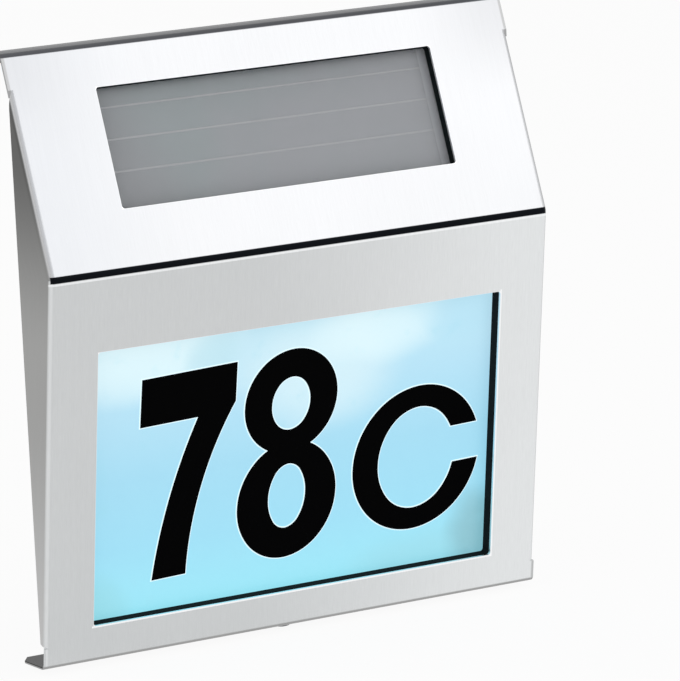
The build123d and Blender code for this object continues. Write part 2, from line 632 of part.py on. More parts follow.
def battery():
    half = BATTERY_LENGTH / 2
    can = chamfer(along_x(BATTERY_DIAMETER, -half, half - BUTTON_HEIGHT).edges(), BUTTON_HEIGHT / 2)
    return can + along_x(BUTTON_DIAMETER, half - 2 * BUTTON_HEIGHT, half)


def battery_contact():
    """The plate at the battery's button, with a dimple that meets it."""
    half = CONTACT_SIZE / 2
    front = BOX_RIGHT - CONTACT_STRIP
    plate = block(front, BOX_RIGHT, BATTERY_Y - half, BATTERY_Y + half, BATTERY_Z - half, BATTERY_Z + half)
    return plate + along_x(DIMPLE_DIAMETER, front - DIMPLE_HEIGHT, BOX_RIGHT)


def battery_spring():
    """A leaf folded over from the box's wall, which presses on the battery's flat end."""
    half = CONTACT_SIZE / 2
    tip = BOX_LEFT + SPRING_DEPTH
    path = [(BOX_LEFT, BATTERY_Z - half), (BOX_LEFT, BATTERY_Z + half), (tip, BATTERY_Z + half / 2),
            (tip, BATTERY_Z - half / 2)]
    side = Plane(origin=(0, BATTERY_Y, 0), x_dir=(1, 0, 0), z_dir=(0, -1, 0))
    bends = [PLATE_BEND, PLATE_BEND]
    return folded_strip(path, CONTACT_STRIP, Side.RIGHT, bends, plane=side, half_width=SPRING_WIDTH / 2)


def battery_cover():
    ends = LID_LAP - LID_LAP_SIDE + HOUSING_WALL
    lid = box_plate(LID_LAP_SIDE, REAR_OUT, LID_REAR, LID_LAP_SIDE, ends)
    for x in LID_SCREW_XS:
        lid -= rod_y(LID_SCREW_DIAMETER + 2 * STUD_GAP, x, BATTERY_Z, REAR_OUT, LID_REAR)
        lid -= rod_y(LID_SCREW_HEAD + 2 * STUD_GAP, x, BATTERY_Z, LID_REAR - LID_SCREW_HEAD_HEIGHT, LID_REAR)
    return lid


def battery_cover_screws():
    """Screws from the rear, whose flat heads lie flush in the lid."""
    screws = []
    for x in LID_SCREW_XS:
        shank = rod_y(LID_SCREW_DIAMETER, x, BATTERY_Z, LID_REAR - LID_SCREW_LENGTH, LID_REAR)
        screws.append(shank + rod_y(LID_SCREW_HEAD, x, BATTERY_Z, LID_REAR - LID_SCREW_HEAD_HEIGHT, LID_REAR))
    return screws


# ---------------------------------------------------------------- circuit and switch

def control_board():
    board = block(SWITCH_X - CONTROL_WIDTH / 2, SWITCH_X + CONTROL_WIDTH / 2, CONTROL_FRONT_Y,
                  CONTROL_FACE_Y, CONTROL_Z - CONTROL_HEIGHT / 2, CONTROL_Z + CONTROL_HEIGHT / 2)
    for x in BOARD_POST_XS:
        board -= rod_y(BOARD_SCREW_DIAMETER + 2 * STUD_GAP, x, BOARD_POST_Z, CONTROL_FRONT_Y, CONTROL_FACE_Y)
    return board


def board_screws():
    """Screws that hold the board on its posts, put in from the front."""
    screws = []
    for x in BOARD_POST_XS:
        shank_end = CONTROL_FRONT_Y + BOARD_SCREW_LENGTH
        screw = rod_y(BOARD_SCREW_DIAMETER, x, BOARD_POST_Z, CONTROL_FRONT_Y, shank_end)
        head_front = CONTROL_FRONT_Y - BOARD_SCREW_HEAD_HEIGHT
        screws.append(screw + rod_y(BOARD_SCREW_HEAD, x, BOARD_POST_Z, head_front, CONTROL_FRONT_Y))
    return screws


def board_parts():
    """Chip, coil and capacitor on the board's front."""
    front = CONTROL_FRONT_Y
    half = CHIP_SIZE / 2
    chip = block(SWITCH_X - half, SWITCH_X + half, front - CHIP_HEIGHT, front,
                 CONTROL_Z - half, CONTROL_Z + half)
    coil = rod_y(COIL_DIAMETER, SWITCH_X - 2 * COIL_DIAMETER, CONTROL_Z, front - COIL_HEIGHT, front)
    can_x = SWITCH_X + 2 * CAPACITOR_DIAMETER
    can = rod_y(CAPACITOR_DIAMETER, can_x, CONTROL_Z, front - CAPACITOR_HEIGHT, front)
    return [chip, coil, can]


def switch_body():
    half_height = SWITCH_HEIGHT / 2
    channel = SLIDER_HEIGHT / 2 + SLIDER_RUN_GAP
    body = block(SWITCH_X - SWITCH_LENGTH / 2, SWITCH_X + SWITCH_LENGTH / 2, CONTROL_FACE_Y, REAR_IN,
                 SWITCH_Z - half_height, SWITCH_Z + half_height)
    bottom = REAR_IN - SLIDER_SINK - SLIDER_RUN_GAP
    return body - block(SWITCH_X - SLOT_LENGTH / 2, SWITCH_X + SLOT_LENGTH / 2, bottom, REAR_IN,
                        SWITCH_Z - channel, SWITCH_Z + channel)


def switch_slider():
    half_width = SLIDER_WIDTH / 2
    half_height = SLIDER_HEIGHT / 2
    return block(SLIDER_REST_X - half_width, SLIDER_REST_X + half_width, REAR_IN - SLIDER_SINK,
                 REAR_OUT + SLIDER_REACH, SWITCH_Z - half_height, SWITCH_Z + half_height)


# ---------------------------------------------------------------- wall plate and locking screw

def plate_outline():
    """Front view of the wall plate: a narrow neck below, the wide plate, and the hook's width on top."""
    wide = block(-PLATE_WIDTH / 2, PLATE_WIDTH / 2, -BIG, BIG, PLATE_LOW, HOOK_BASE - PLATE)
    corners = wide.edges().filter_by(Axis.Y)
    neck = block(-NECK_WIDTH / 2, NECK_WIDTH / 2, -BIG, BIG, -1, PLATE_LOW + PLATE)
    hook = block(-HOOK_WIDTH / 2, HOOK_WIDTH / 2, -BIG, BIG, HOOK_BASE - 2 * PLATE, BIG)
    return fillet(corners, PLATE_CORNER) + neck + hook


def wall_plate():
    """One folded strip of steel: tab, neck, plate, and a hook whose lip has a round top."""
    lip_front = -HOOK_REACH
    shelf = HOOK_BASE + PLATE
    path = [(-TAB_REACH, TAB_LOW), (0, TAB_LOW), (0, shelf), (lip_front + PLATE, shelf),
            (lip_front + PLATE, PIVOT_Z)]
    plate = folded_strip(path, PLATE, Side.LEFT, [PLATE_BEND] * 3, half_width=PLATE_WIDTH / 2)
    plate = plate & plate_outline()
    plate += Pos(0, PIVOT_Y, PIVOT_Z) * Rot(0, 90, 0) * Cylinder(PLATE / 2, HOOK_WIDTH)
    for side in (-1, 1):
        plate -= rod_y(HOLE_DIAMETER, side * HOLE_PITCH / 2, HOLE_HEIGHT, -PLATE, 0)
    return plate - rod_z(LOCK_HOLE, 0, -LOCK_STANDOFF, 0, LOCK_NUT_LOW)


def lock_nut():
    """The nut pressed into the tab."""
    high = LOCK_NUT_LOW + LOCK_NUT_HEIGHT
    nut = rod_z(LOCK_NUT_DIAMETER, 0, -LOCK_STANDOFF, LOCK_NUT_LOW, high)
    return nut - rod_z(LOCK_DIAMETER + 2 * LOCK_THREAD_GAP, 0, -LOCK_STANDOFF, LOCK_NUT_LOW, high)


def locking_screw():
    """A pan-head screw with a cross recess, put in from below."""
    seat = -LOCK_HEAD_GAP
    tip = LOCK_NUT_LOW + LOCK_NUT_HEIGHT + LOCK_SHANK_OUT
    head = rod_z(LOCK_HEAD, 0, -LOCK_STANDOFF, seat - LOCK_HEAD_HEIGHT, seat)
    head = chamfer(head.edges().sort_by(Axis.Z)[0], LOCK_HEAD_HEIGHT / 3)
    screw = head + rod_z(LOCK_DIAMETER, 0, -LOCK_STANDOFF, seat, tip)
    bottom = seat - LOCK_HEAD_HEIGHT
    for width, length in ((LOCK_CROSS_WIDTH, LOCK_CROSS_LENGTH), (LOCK_CROSS_LENGTH, LOCK_CROSS_WIDTH)):
        screw -= block(-width / 2, width / 2, -LOCK_STANDOFF - length / 2, -LOCK_STANDOFF + length / 2,
                       bottom, bottom + LOCK_CROSS_DEPTH)
    return screw


# ---------------------------------------------------------------- files

def save(name, shape):
    """Write one node, with the origin moved to the middle of the wall screw holes."""
    solids = shape if isinstance(shape, list) else [shape]
    moved = [Pos(0, 0, -HOLE_HEIGHT) * solid for part in solids for solid in part.solids()]
    node = moved[0] if len(moved) == 1 else Compound(children=moved)
    export_step(node, os.path.join("parts", name + ".step"))


NODES = {
    "front_cover": front_cover,
    "window_frame": window_frame,
    "number_panel": number_panel,
    "number_seven": number_seven,
    "number_eight": number_eight,
    "letter_c": letter_c,
    "solar_frame": solar_frame,
    "solar_glass": lambda: solar_sheet(SOLAR_RECESS, CELLS_FRONT),
    "solar_cells": solar_cells,
    "solar_board": lambda: solar_sheet(SOLAR_BOARD_FRONT, SOLAR_BOARD_REAR),
    "rear_housing": rear_housing,
    "weld_studs": weld_studs,
    "housing_nuts": housing_nuts,
    "led_board": led_board,
    "leds": leds,
    "reflector": reflector,
    "battery": battery,
    "battery_contact": battery_contact,
    "battery_spring": battery_spring,
    "battery_cover": battery_cover,
    "battery_seal": seal_ring,
    "battery_cover_screws": battery_cover_screws,
    "control_board": control_board,
    "board_screws": board_screws,
    "board_parts": board_parts,
    "switch_body": switch_body,
    "switch_slider": switch_slider,
    "wall_plate": wall_plate,
    "lock_nut": lock_nut,
    "locking_screw": locking_screw,
}

os.makedirs("parts", exist_ok=True)
for node_name, make_node in NODES.items():
    save(node_name, make_node())
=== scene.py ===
"""Finishes, small parts, studio and camera for the illuminated house number sign.

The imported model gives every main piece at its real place, in metres: +Z is up, the face looks
along -Y, the wall is the plane Y = 0, and X = 0 is the middle. This script dresses each piece in
a procedural finish, adds the small parts that are too fine for the solids, and sets the light and
the camera.
"""

import logging
import math
from dataclasses import dataclass
from enum import Enum
from typing import Any, Optional, Sequence, Union

import bmesh
import bpy
from bpy.types import ColorRamp, Material, Mesh, Node, NodeSocket, Object
from mathutils import Matrix, Vector


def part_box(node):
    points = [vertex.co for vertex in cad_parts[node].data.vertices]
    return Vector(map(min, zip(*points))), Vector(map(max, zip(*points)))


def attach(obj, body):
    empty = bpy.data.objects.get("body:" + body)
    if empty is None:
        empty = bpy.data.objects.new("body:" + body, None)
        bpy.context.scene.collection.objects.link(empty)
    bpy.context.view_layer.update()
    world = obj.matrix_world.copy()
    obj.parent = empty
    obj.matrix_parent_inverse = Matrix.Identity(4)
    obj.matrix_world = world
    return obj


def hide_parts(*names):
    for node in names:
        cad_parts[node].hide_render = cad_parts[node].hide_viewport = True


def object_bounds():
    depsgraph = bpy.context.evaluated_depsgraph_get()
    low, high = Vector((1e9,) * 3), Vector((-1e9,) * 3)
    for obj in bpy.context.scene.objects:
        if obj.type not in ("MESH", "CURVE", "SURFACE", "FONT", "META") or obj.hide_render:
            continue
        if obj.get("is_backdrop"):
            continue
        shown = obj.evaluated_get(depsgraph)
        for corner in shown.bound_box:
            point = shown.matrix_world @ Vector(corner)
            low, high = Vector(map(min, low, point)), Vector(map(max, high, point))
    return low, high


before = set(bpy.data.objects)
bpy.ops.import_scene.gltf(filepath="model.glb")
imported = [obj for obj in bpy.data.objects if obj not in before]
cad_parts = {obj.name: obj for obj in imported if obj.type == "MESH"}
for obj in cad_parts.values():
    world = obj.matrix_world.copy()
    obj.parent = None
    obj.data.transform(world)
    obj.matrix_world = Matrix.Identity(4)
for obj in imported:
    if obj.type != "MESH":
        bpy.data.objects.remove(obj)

log = logging.getLogger("house_number_sign")

MM = 0.001
WHITE = (1.0, 1.0, 1.0)
BLOCK_FACES = ((0, 1, 2, 3), (4, 5, 6, 7), (0, 1, 5, 4), (1, 2, 6, 5), (2, 3, 7, 6), (3, 0, 4, 7))
Number = Union[float, "Field"]
Colour = tuple[float, float, float]
Point = tuple[float, float, float]
Pair = tuple[float, float]


class Body(Enum):
    """The moving bodies of the sign."""

    SIGN = "sign"
    SCREW = "locking_screw"
    SLIDER = "switch_slider"


# --- shape of the sign


@dataclass(frozen=True)
class SlantedPlane:
    """The face or the hood: an origin and a slope, in millimetres and radians.

    "Up" runs up the plane from its origin, and "depth" runs inwards from its outer surface.
    """

    y: float
    z: float
    up_y: float
    up_z: float

    def point(self, x: float, up: float, depth: float) -> Vector:
        """The place in metres of a point given on the plane in millimetres."""
        y = self.y + up * self.up_y + depth * self.up_z
        z = self.z + up * self.up_z - depth * self.up_y
        return Vector((x, y, z)) * MM

    def out(self) -> Vector:
        """Which way the plane looks."""
        return Vector((0, -self.up_z, self.up_y))

    def turn(self) -> Matrix:
        """The turn whose X lies across the sign, whose Y runs up the plane and whose Z looks out."""
        return Matrix((Vector((1, 0, 0)), Vector((0, self.up_y, self.up_z)), self.out())).transposed()


@dataclass(frozen=True)
class SignShape:
    """Main sizes of the sign in millimetres, as in the solids."""

    half_width: float = 92.5
    foot_y: float = -18.0
    underside: float = -145.797
    fold_y: float = -35.884
    fold_z: float = -18.548
    top_z: float = 50.05
    lean: float = math.radians(8.0)
    slope: float = math.radians(70.0)
    window_low: float = 12.0
    window_high: float = 103.0
    window_half: float = 75.0
    solar_low: float = 19.5
    solar_high: float = 59.0
    solar_half: float = 62.0
    number_recess: float = 5.0

    def face(self) -> SlantedPlane:
        """The leaning face, from its bottom edge up."""
        return SlantedPlane(self.foot_y, self.underside, -math.sin(self.lean), math.cos(self.lean))

    def hood(self) -> SlantedPlane:
        """The hood, from the fold up."""
        return SlantedPlane(self.fold_y, self.fold_z, math.cos(self.slope), math.sin(self.slope))

    def up_face(self, z: Number) -> Number:
        """How far up the face a height lies."""
        return (z - self.underside) * (1 / math.cos(self.lean))

    def up_hood(self, z: Number) -> Number:
        """How far up the hood a height lies."""
        return (z - self.fold_z) * (1 / math.sin(self.slope))


SHAPE = SignShape()


# --- nodes


class Field:
    """A node's output that takes part in arithmetic."""

    def __init__(self, nodes: "NodeTree", socket: NodeSocket) -> None:
        """Wraps an output socket of a node tree."""
        self.nodes = nodes
        self.socket = socket

    def _with(self, operation: str, first: Number, second: Number) -> "Field":
        """One Math node of two numbers or fields."""
        node = self.nodes.node("ShaderNodeMath", {"operation": operation}, {0: first, 1: second})
        return Field(self.nodes, node.outputs[0])

    def __add__(self, other: Number) -> "Field":
        """Sum of two values."""
        return self._with("ADD", self, other)

    __radd__ = __add__

    def __sub__(self, other: Number) -> "Field":
        """Difference of two values."""
        return self._with("SUBTRACT", self, other)

    def __rsub__(self, other: Number) -> "Field":
        """Difference with the field second."""
        return self._with("SUBTRACT", other, self)

    def __mul__(self, other: Number) -> "Field":
        """Product of two values."""
        return self._with("MULTIPLY", self, other)

    __rmul__ = __mul__

    def __abs__(self) -> "Field":
        """Size of the value without its sign."""
        return self._with("ABSOLUTE", self, 0.0)

    def larger(self, other: Number) -> "Field":
        """The larger of two values."""
        return self._with("MAXIMUM", self, other)

    def swing(self, amount: float) -> "Field":
        """How far the value lies from 0.5, times an amount."""
        return (self - 0.5) * amount

    def rise(self, low: float, high: float) -> "Field":
        """A smooth step.

        Args:
            low: Value at and below which the step is 0.
            high: Value at and above which it is 1. It is below low for a falling step.

        Returns:
            The step, from 0 to 1.
        """
        start, end = (low, high) if low < high else (high, low)
        settings = {"interpolation_type": "SMOOTHSTEP"}
        step = self.nodes.node("ShaderNodeMapRange", settings, {0: self, 1: start, 2: end, 3: 0.0, 4: 1.0})
        result = Field(self.nodes, step.outputs[0])
        return result if low < high else 1.0 - result

    def band(self, low: float, high: float, soft: float) -> "Field":
        """1 between two values and 0 outside them, with edges this soft."""
        return self.rise(low - soft / 2, low + soft / 2) * self.rise(high + soft / 2, high - soft / 2)


class NodeTree:
    """A node tree with the one method that makes every node."""

    def __init__(self, tree: bpy.types.NodeTree) -> None:
        """Empties the tree."""
        self.tree = tree
        tree.nodes.clear()

    def node(self, kind: str, settings: dict[str, Any], inputs: dict[Union[int, str], Any]) -> Node:
        """Adds a node.

        Args:
            kind: The node's type.
            settings: Its properties, set first; "stops" are a colour ramp's (position, colour) pairs.
            inputs: Values, fields or sockets by the input's index or name.

        Returns:
            The new node.
        """
        node = self.tree.nodes.new(kind)
        for key, value in settings.items():
            if key == "stops":
                self._set_stops(node.color_ramp, value)
            else:
                setattr(node, key, value)
        for key, value in inputs.items():
            socket = self._input(node, key)
            if isinstance(value, Field):
                self.tree.links.new(value.socket, socket)
            elif isinstance(value, NodeSocket):
                self.tree.links.new(value, socket)
            else:
                opaque = socket.type == "RGBA" and len(value) == 3
                socket.default_value = (*value, 1.0) if opaque else value
        return node

    @staticmethod
    def _input(node: Node, key: Union[int, str]) -> NodeSocket:
        """The input with this index, or the one with this name, an enabled one first."""
        if isinstance(key, int):
            return node.inputs[key]
        named = [socket for socket in node.inputs if socket.name == key]
        return max(named, key=lambda socket: socket.enabled)

    @staticmethod
    def _set_stops(ramp: ColorRamp, stops: Sequence[tuple[float, Colour]]) -> None:
        """Gives a colour ramp its stops."""
        while len(ramp.elements) < len(stops):
            ramp.elements.new(1.0)
        for element, (position, colour) in zip(ramp.elements, stops):
            element.position = position
            element.color = (*colour, 1.0)

    def seen(self) -> Field:
        """1 for rays from the camera or off metal and glass, and 0 for the light that falls on things."""
        rays = self.node("ShaderNodeLightPath", {}, {}).outputs
        kinds = ("Camera", "Glossy", "Transmission")
        camera, glossy, clear = (Field(self, rays[f"Is {kind} Ray"]) for kind in kinds)
        return camera.larger(glossy).larger(clear)


class Shader(NodeTree):
    """One material's node tree."""

    def __init__(self, name: str) -> None:
        """Starts an empty material."""
        self.material = bpy.data.materials.new(name)
        self.material.use_nodes = True
        super().__init__(self.material.node_tree)

    def axes(self) -> tuple[Field, Field, Field]:
        """Object coordinates X, Y and Z, in millimetres."""
        coordinate = self.node("ShaderNodeTexCoord", {}, {}).outputs["Object"]
        inputs = {0: coordinate, "Scale": 1 / MM}
        millimetres = self.node("ShaderNodeVectorMath", {"operation": "SCALE"}, inputs).outputs[0]
        split = self.node("ShaderNodeSeparateXYZ", {}, {0: millimetres})
        return tuple(Field(self, split.outputs[index]) for index in range(3))

    def place(self, x: Number, y: Number, z: Number) -> NodeSocket:
        """A vector from three values."""
        return self.node("ShaderNodeCombineXYZ", {}, {0: x, 1: y, 2: z}).outputs[0]

    def noise(self, place: NodeSocket, scale: float, detail: float, rough: float) -> Field:
        """Smooth noise from 0 to 1 at a place, by its frequency, octaves and their strength."""
        inputs = {"Vector": place, "Scale": scale, "Detail": detail, "Roughness": rough}
        return Field(self, self.node("ShaderNodeTexNoise", {}, inputs).outputs[0])

    def cloud(self, scale: float, detail: float, rough: float, stretch: Point = (1.0, 1.0, 1.0)) -> Field:
        """Noise in the piece's own coordinates, each times its own factor."""
        place = self.place(*(axis * factor for axis, factor in zip(self.axes(), stretch)))
        return self.noise(place, scale, detail, rough)

    def mix(self, factor: Number, first: Any, second: Any) -> NodeSocket:
        """A colour between two colours."""
        return self.node("ShaderNodeMix", {"data_type": "RGBA"}, {0: factor, 6: first, 7: second}).outputs[2]

    def ramp(self, factor: Number, stops: Sequence[tuple[float, Colour]]) -> NodeSocket:
        """A colour from a ramp."""
        return self.node("ShaderNodeValToRGB", {"stops": stops}, {0: factor}).outputs[0]

    def bump(self, height: Field, strength: float, distance: float) -> NodeSocket:
        """A normal from a height, with its distance in millimetres."""
        inputs = {"Height": height, "Strength": strength, "Distance": distance * MM}
        return self.node("ShaderNodeBump", {}, inputs).outputs[0]

    def surface(self, **inputs: Any) -> None:
        """Ends the tree in a Principled surface; underscores part the words of its inputs' names."""
        named = {key.replace("_", " ").title().replace("Ior", "IOR"): value for key, value in inputs.items()}
        self.end(self.node("ShaderNodeBsdfPrincipled", {}, named).outputs[0])

    def end(self, surface: NodeSocket) -> None:
        """Makes a surface the material's."""
        self.node("ShaderNodeOutputMaterial", {}, {0: surface})


# --- finishes


def scaled(tone: Colour, factor: float) -> Colour:
    """A colour made darker or lighter, up to white."""
    return tuple(min(1.0, part * factor) for part in tone)


@dataclass(frozen=True)
class Finish:
    """A named finish that takes one of the record's material slots."""

    name: str
    slot: str

    def dress(self, shader: Shader) -> None:
        """Fills the material's node tree."""
        raise NotImplementedError

    def material(self) -> Material:
        """Makes the material."""
        shader = Shader(self.name)
        self.dress(shader)
        return shader.material


@dataclass(frozen=True)
class CoverSteel(Finish):
    """Brushed stainless sheet, its grain up the face, with rougher flanges, and with painted shade, painted
    highlights and a painted dark reflection in the bend at the fold.

    Places are in millimetres. A pair of them is where a soft edge starts and where it ends.
    """

    face_tone: Colour = (0.70, 0.715, 0.72)
    # The hood's tones are painted shade: lower than the face's to hold back the brighter light on it, and
    # lower still at its left end.
    hood_shade_left: Colour = (0.535, 0.545, 0.565)
    hood_tone: Colour = (0.57, 0.575, 0.587)
    # Painted shade on the side flanges: nearly black high up, paler towards the foot.
    side_shade_high: Colour = (0.12, 0.12, 0.117)
    side_shade_middle: Colour = (0.37, 0.37, 0.365)
    side_shade_low: Colour = (0.54, 0.54, 0.54)
    # Painted shade at the hood's top corners.
    corner_shade_tone: Colour = (0.45, 0.455, 0.47)
    # Painted highlight for the left bend, the windows' cut edges, the number window's right and lower edges
    # and the line below the fold.
    highlight_tone: Colour = (0.95, 0.96, 0.97)
    shade_tone: Colour = (0.34, 0.34, 0.34)
    # Painted dark reflection on the top lip, darker at its front.
    lip_reflection_front: Colour = (0.085, 0.087, 0.095)
    lip_reflection_rear: Colour = (0.16, 0.163, 0.168)
    # Painted dark reflection in the bend at the fold.
    bend_reflection_tone: Colour = (0.006, 0.007, 0.009)
    # Painted shade inside the bottom flange.
    inside_shade_tone: Colour = (0.028, 0.028, 0.028)
    grain: float = 0.16
    streaks: float = 0.05
    patches: float = 0.07
    glint: float = 0.58
    sheet_turned: Pair = (1.0, 1.7)
    hood_turned: float = 0.55
    # Where the painted light across the face starts to rise.
    light_left: float = -30.0
    hood_shade_span: Pair = (-92.0, -35.0)
    corner_across: Pair = (55.0, 92.0)
    corner_down: Pair = (-34.0, -2.0)
    side_fall: Pair = (22.0, -45.0)
    side_foot: float = -60.0
    left_bend: float = 91.8
    right_bend: Pair = (91.3, 91.9)
    hood_bend: Pair = (91.3, 91.8)
    low_bend: Pair = (1.5, 0.9)
    under_fold: Pair = (-1.9, -1.2)
    fold_reach: float = 1.05
    fold_ends: Pair = (92.2, 91.9)
    lip_start: Pair = (-1.35, -1.05)
    lip_split: Pair = (-6.6, -5.6)
    inside_floor: Pair = (0.45, 2.0)

    def dress(self, shader: Shader) -> None:
        """Grain follows the sheet round its bends; every flange has its own painted shade."""
        x, y, z = shader.axes()
        height, fold = z - SHAPE.underside, z - SHAPE.fold_z
        face_depth = (y - SHAPE.foot_y + height * math.tan(SHAPE.lean)) * math.cos(SHAPE.lean)
        hood_depth = (y - SHAPE.fold_y) * math.sin(SHAPE.slope) - fold * math.cos(SHAPE.slope)
        on_hood = fold.rise(-0.1, 0.1)
        depth = face_depth + on_hood * (hood_depth - face_depth)
        sides = (depth + on_hood * self.hood_turned).rise(*self.sheet_turned)
        outside = 1.0 - sides

        fine = shader.noise(shader.place(x * 3.6, depth * 3.6, z * 0.22), 1.0, 3.0, 0.6)
        long = shader.noise(shader.place(x * 0.9, depth * 0.9, z * 0.03), 1.0, 2.0, 0.5)
        cloud = shader.noise(shader.place(x, y, z), 0.016, 2.0, 0.5)
        grain = 1.0 + fine.swing(self.grain) + long.swing(self.streaks) + cloud.swing(self.patches)

        # Painted light: the face is painted lighter towards its right end, where more light falls.
        across = x.rise(self.light_left, SHAPE.half_width)
        sheet = shader.mix(across, scaled(self.face_tone, 0.88), scaled(self.face_tone, 1.1))
        for mask, tone in self._layers(shader, (x, y, z), on_hood, outside):
            sheet = shader.mix(mask, sheet, tone)
        # Painted shade inside the bottom flange.
        inside = height.band(*self.inside_floor, 0.1) * face_depth.rise(1.0, 1.6)
        sheet = shader.mix(inside, sheet, self.inside_shade_tone)
        # Painted dark reflection in the bend at the fold.
        bend = fold.band(-self.fold_reach, self.fold_reach, 0.2) * abs(x).rise(*self.fold_ends)
        sheet = shader.mix(bend, sheet, self.bend_reflection_tone)

        shade = {0: sheet, 1: shader.place(grain, grain, grain)}
        shader.surface(
            base_color=shader.node("ShaderNodeVectorMath", {"operation": "MULTIPLY"}, shade).outputs[0],
            metallic=1.0,
            roughness=0.34 + fine.swing(0.16) + sides * 0.08,
            normal=shader.bump(fine, 0.25, 0.02),
        )

    def _layers(self, shader: Shader, axes: tuple[Field, Field, Field], on_hood: Field,
                outside: Field) -> Sequence[tuple[Field, Any]]:
        """The painted shade, highlights and reflections that lie over the face's own tone, the lowest first.

        Args:
            shader: The cover's shader.
            axes: Its coordinates.
            on_hood: 1 above the fold and 0 below it.
            outside: 1 on the face and hood and 0 on the flanges.

        Returns:
            Where each tone shows, and the tone.
        """
        x, y, z = axes
        reach, fold, top = abs(x), z - SHAPE.fold_z, z - SHAPE.top_z
        # Painted shade on the hood, darker at its left end.
        hood = shader.mix(x.rise(*self.hood_shade_span), self.hood_shade_left, self.hood_tone)
        # Painted shade at the hood's top corners.
        corner = reach.rise(*self.corner_across) * top.rise(*self.corner_down)
        hood = shader.mix(corner * 0.5, hood, self.corner_shade_tone)
        # Painted shade on the side flanges, darkest high up.
        side = shader.mix(z.rise(*self.side_fall), self.side_shade_high, self.side_shade_middle)
        side = shader.mix(z.rise(self.side_foot, SHAPE.underside), side, self.side_shade_low)
        # Painted dark reflection on the top lip.
        lip = shader.mix(y.rise(*self.lip_split), self.lip_reflection_front, self.lip_reflection_rear)
        # Painted highlight along the face's left bend; painted shade along the right, lower and hood bends.
        left_bend = (x + self.left_bend).band(-0.35, 0.35, 0.4) * outside * (1.0 - on_hood)
        right_bend = x.rise(*self.right_bend) * outside * 0.6
        hood_bend = reach.rise(*self.hood_bend) * outside * on_hood * 0.8
        low_bend = (z - SHAPE.underside).rise(*self.low_bend)
        window = self._cut(x, SHAPE.up_face(z), SHAPE.window_half, SHAPE.window_low, SHAPE.window_high)
        solar = self._cut(x, SHAPE.up_hood(z), SHAPE.solar_half, SHAPE.solar_low, SHAPE.solar_high)
        # Painted light in every layer: shade on the hood and sides, highlights on the left bend, cut edges,
        # window edges and below the fold, shade on the other bends, and a dark reflection on the lip.
        return (
            (on_hood, hood),
            (1.0 - outside, side),
            (left_bend * 0.3, self.highlight_tone),
            (right_bend.larger(low_bend).larger(hood_bend), self.shade_tone),
            (window.larger(solar), self.highlight_tone),
            (self._painted_glint(x, SHAPE.up_face(z)) * outside, self.highlight_tone),
            (fold.band(*self.under_fold, 0.2) * outside * 0.7, self.highlight_tone),
            (top.rise(*self.lip_start), lip),
        )

    @staticmethod
    def _cut(x: Field, up: Field, half: float, low: float, high: float) -> Field:
        """1 on the cut edge of a window, where the sheet's thickness shows, and 0 beyond it."""
        past = (abs(x) - half).larger(up - high).larger(low - up)
        return past.rise(0.1, 0.04)

    def _painted_glint(self, x: Field, up: Field) -> Field:
        """1 on the painted highlight along the number window's right and lower edges."""
        past = (x - SHAPE.window_half).larger(SHAPE.window_low - up)
        ends = (abs(x) - SHAPE.window_half).larger(up - SHAPE.window_high).rise(self.glint + 0.05, self.glint)
        return past.band(0.0, self.glint, 0.08) * ends


@dataclass(frozen=True)
class SheetSteel(Finish):
    """Dull rolled sheet: cloudy zinc with faint rolling lines."""

    tone: Colour = (0.50, 0.51, 0.52)
    spread: float = 0.18
    rough: float = 0.42

    def dress(self, shader: Shader) -> None:
        """Spangle, rolling lines and small scuffs."""
        spangle = shader.cloud(0.22, 3.0, 0.55)
        rolled = shader.cloud(1.0, 2.0, 0.5, (1.8, 1.8, 0.05))
        scuff = shader.cloud(0.9, 4.0, 0.7, (0.3, 1.0, 2.2)).rise(0.63, 0.72)
        level = 0.5 + spangle.swing(0.9) + rolled.swing(0.5) + scuff * 0.15
        dark, light = (scaled(self.tone, 1 + side * self.spread) for side in (-1, 1))
        shader.surface(
            base_color=shader.mix(level, dark, light),
            metallic=1.0,
            roughness=self.rough + spangle.swing(0.2) - scuff * 0.1,
            normal=shader.bump(spangle + rolled, 0.12, 0.03),
        )


@dataclass(frozen=True)
class PlatedSteel(Finish):
    """Plated screws, nuts and springs."""

    tone: Colour = (0.72, 0.73, 0.76)
    rough: float = 0.22

    def dress(self, shader: Shader) -> None:
        """Faint clouds in the plating and turning marks."""
        cloud = shader.cloud(0.7, 3.0, 0.5)
        shader.surface(
            base_color=shader.mix(cloud, scaled(self.tone, 0.8), self.tone),
            metallic=1.0,
            roughness=self.rough + cloud.swing(0.15),
            normal=shader.bump(shader.cloud(6.0, 1.0, 0.4), 0.08, 0.02),
        )


@dataclass(frozen=True)
class MouldedPlastic(Finish):
    """Injection-moulded black plastic with a fine spark-eroded texture."""

    tone: Colour = (0.014, 0.014, 0.016)
    pale: Colour = (0.025, 0.025, 0.028)
    rough: float = 0.52
    grain_depth: float = 0.035

    def dress(self, shader: Shader) -> None:
        """Fine pits, slow changes of gloss and paler dust in slow patches."""
        pits = shader.cloud(3.2, 2.0, 0.6)
        flow = shader.cloud(0.06, 2.0, 0.5, (1.0, 1.0, 0.5))
        shader.surface(
            base_color=shader.mix(flow.rise(0.35, 0.75), self.tone, self.pale),
            roughness=self.rough + flow.swing(0.2) + pits.swing(0.1),
            normal=shader.bump(pits, 0.3, self.grain_depth),
        )


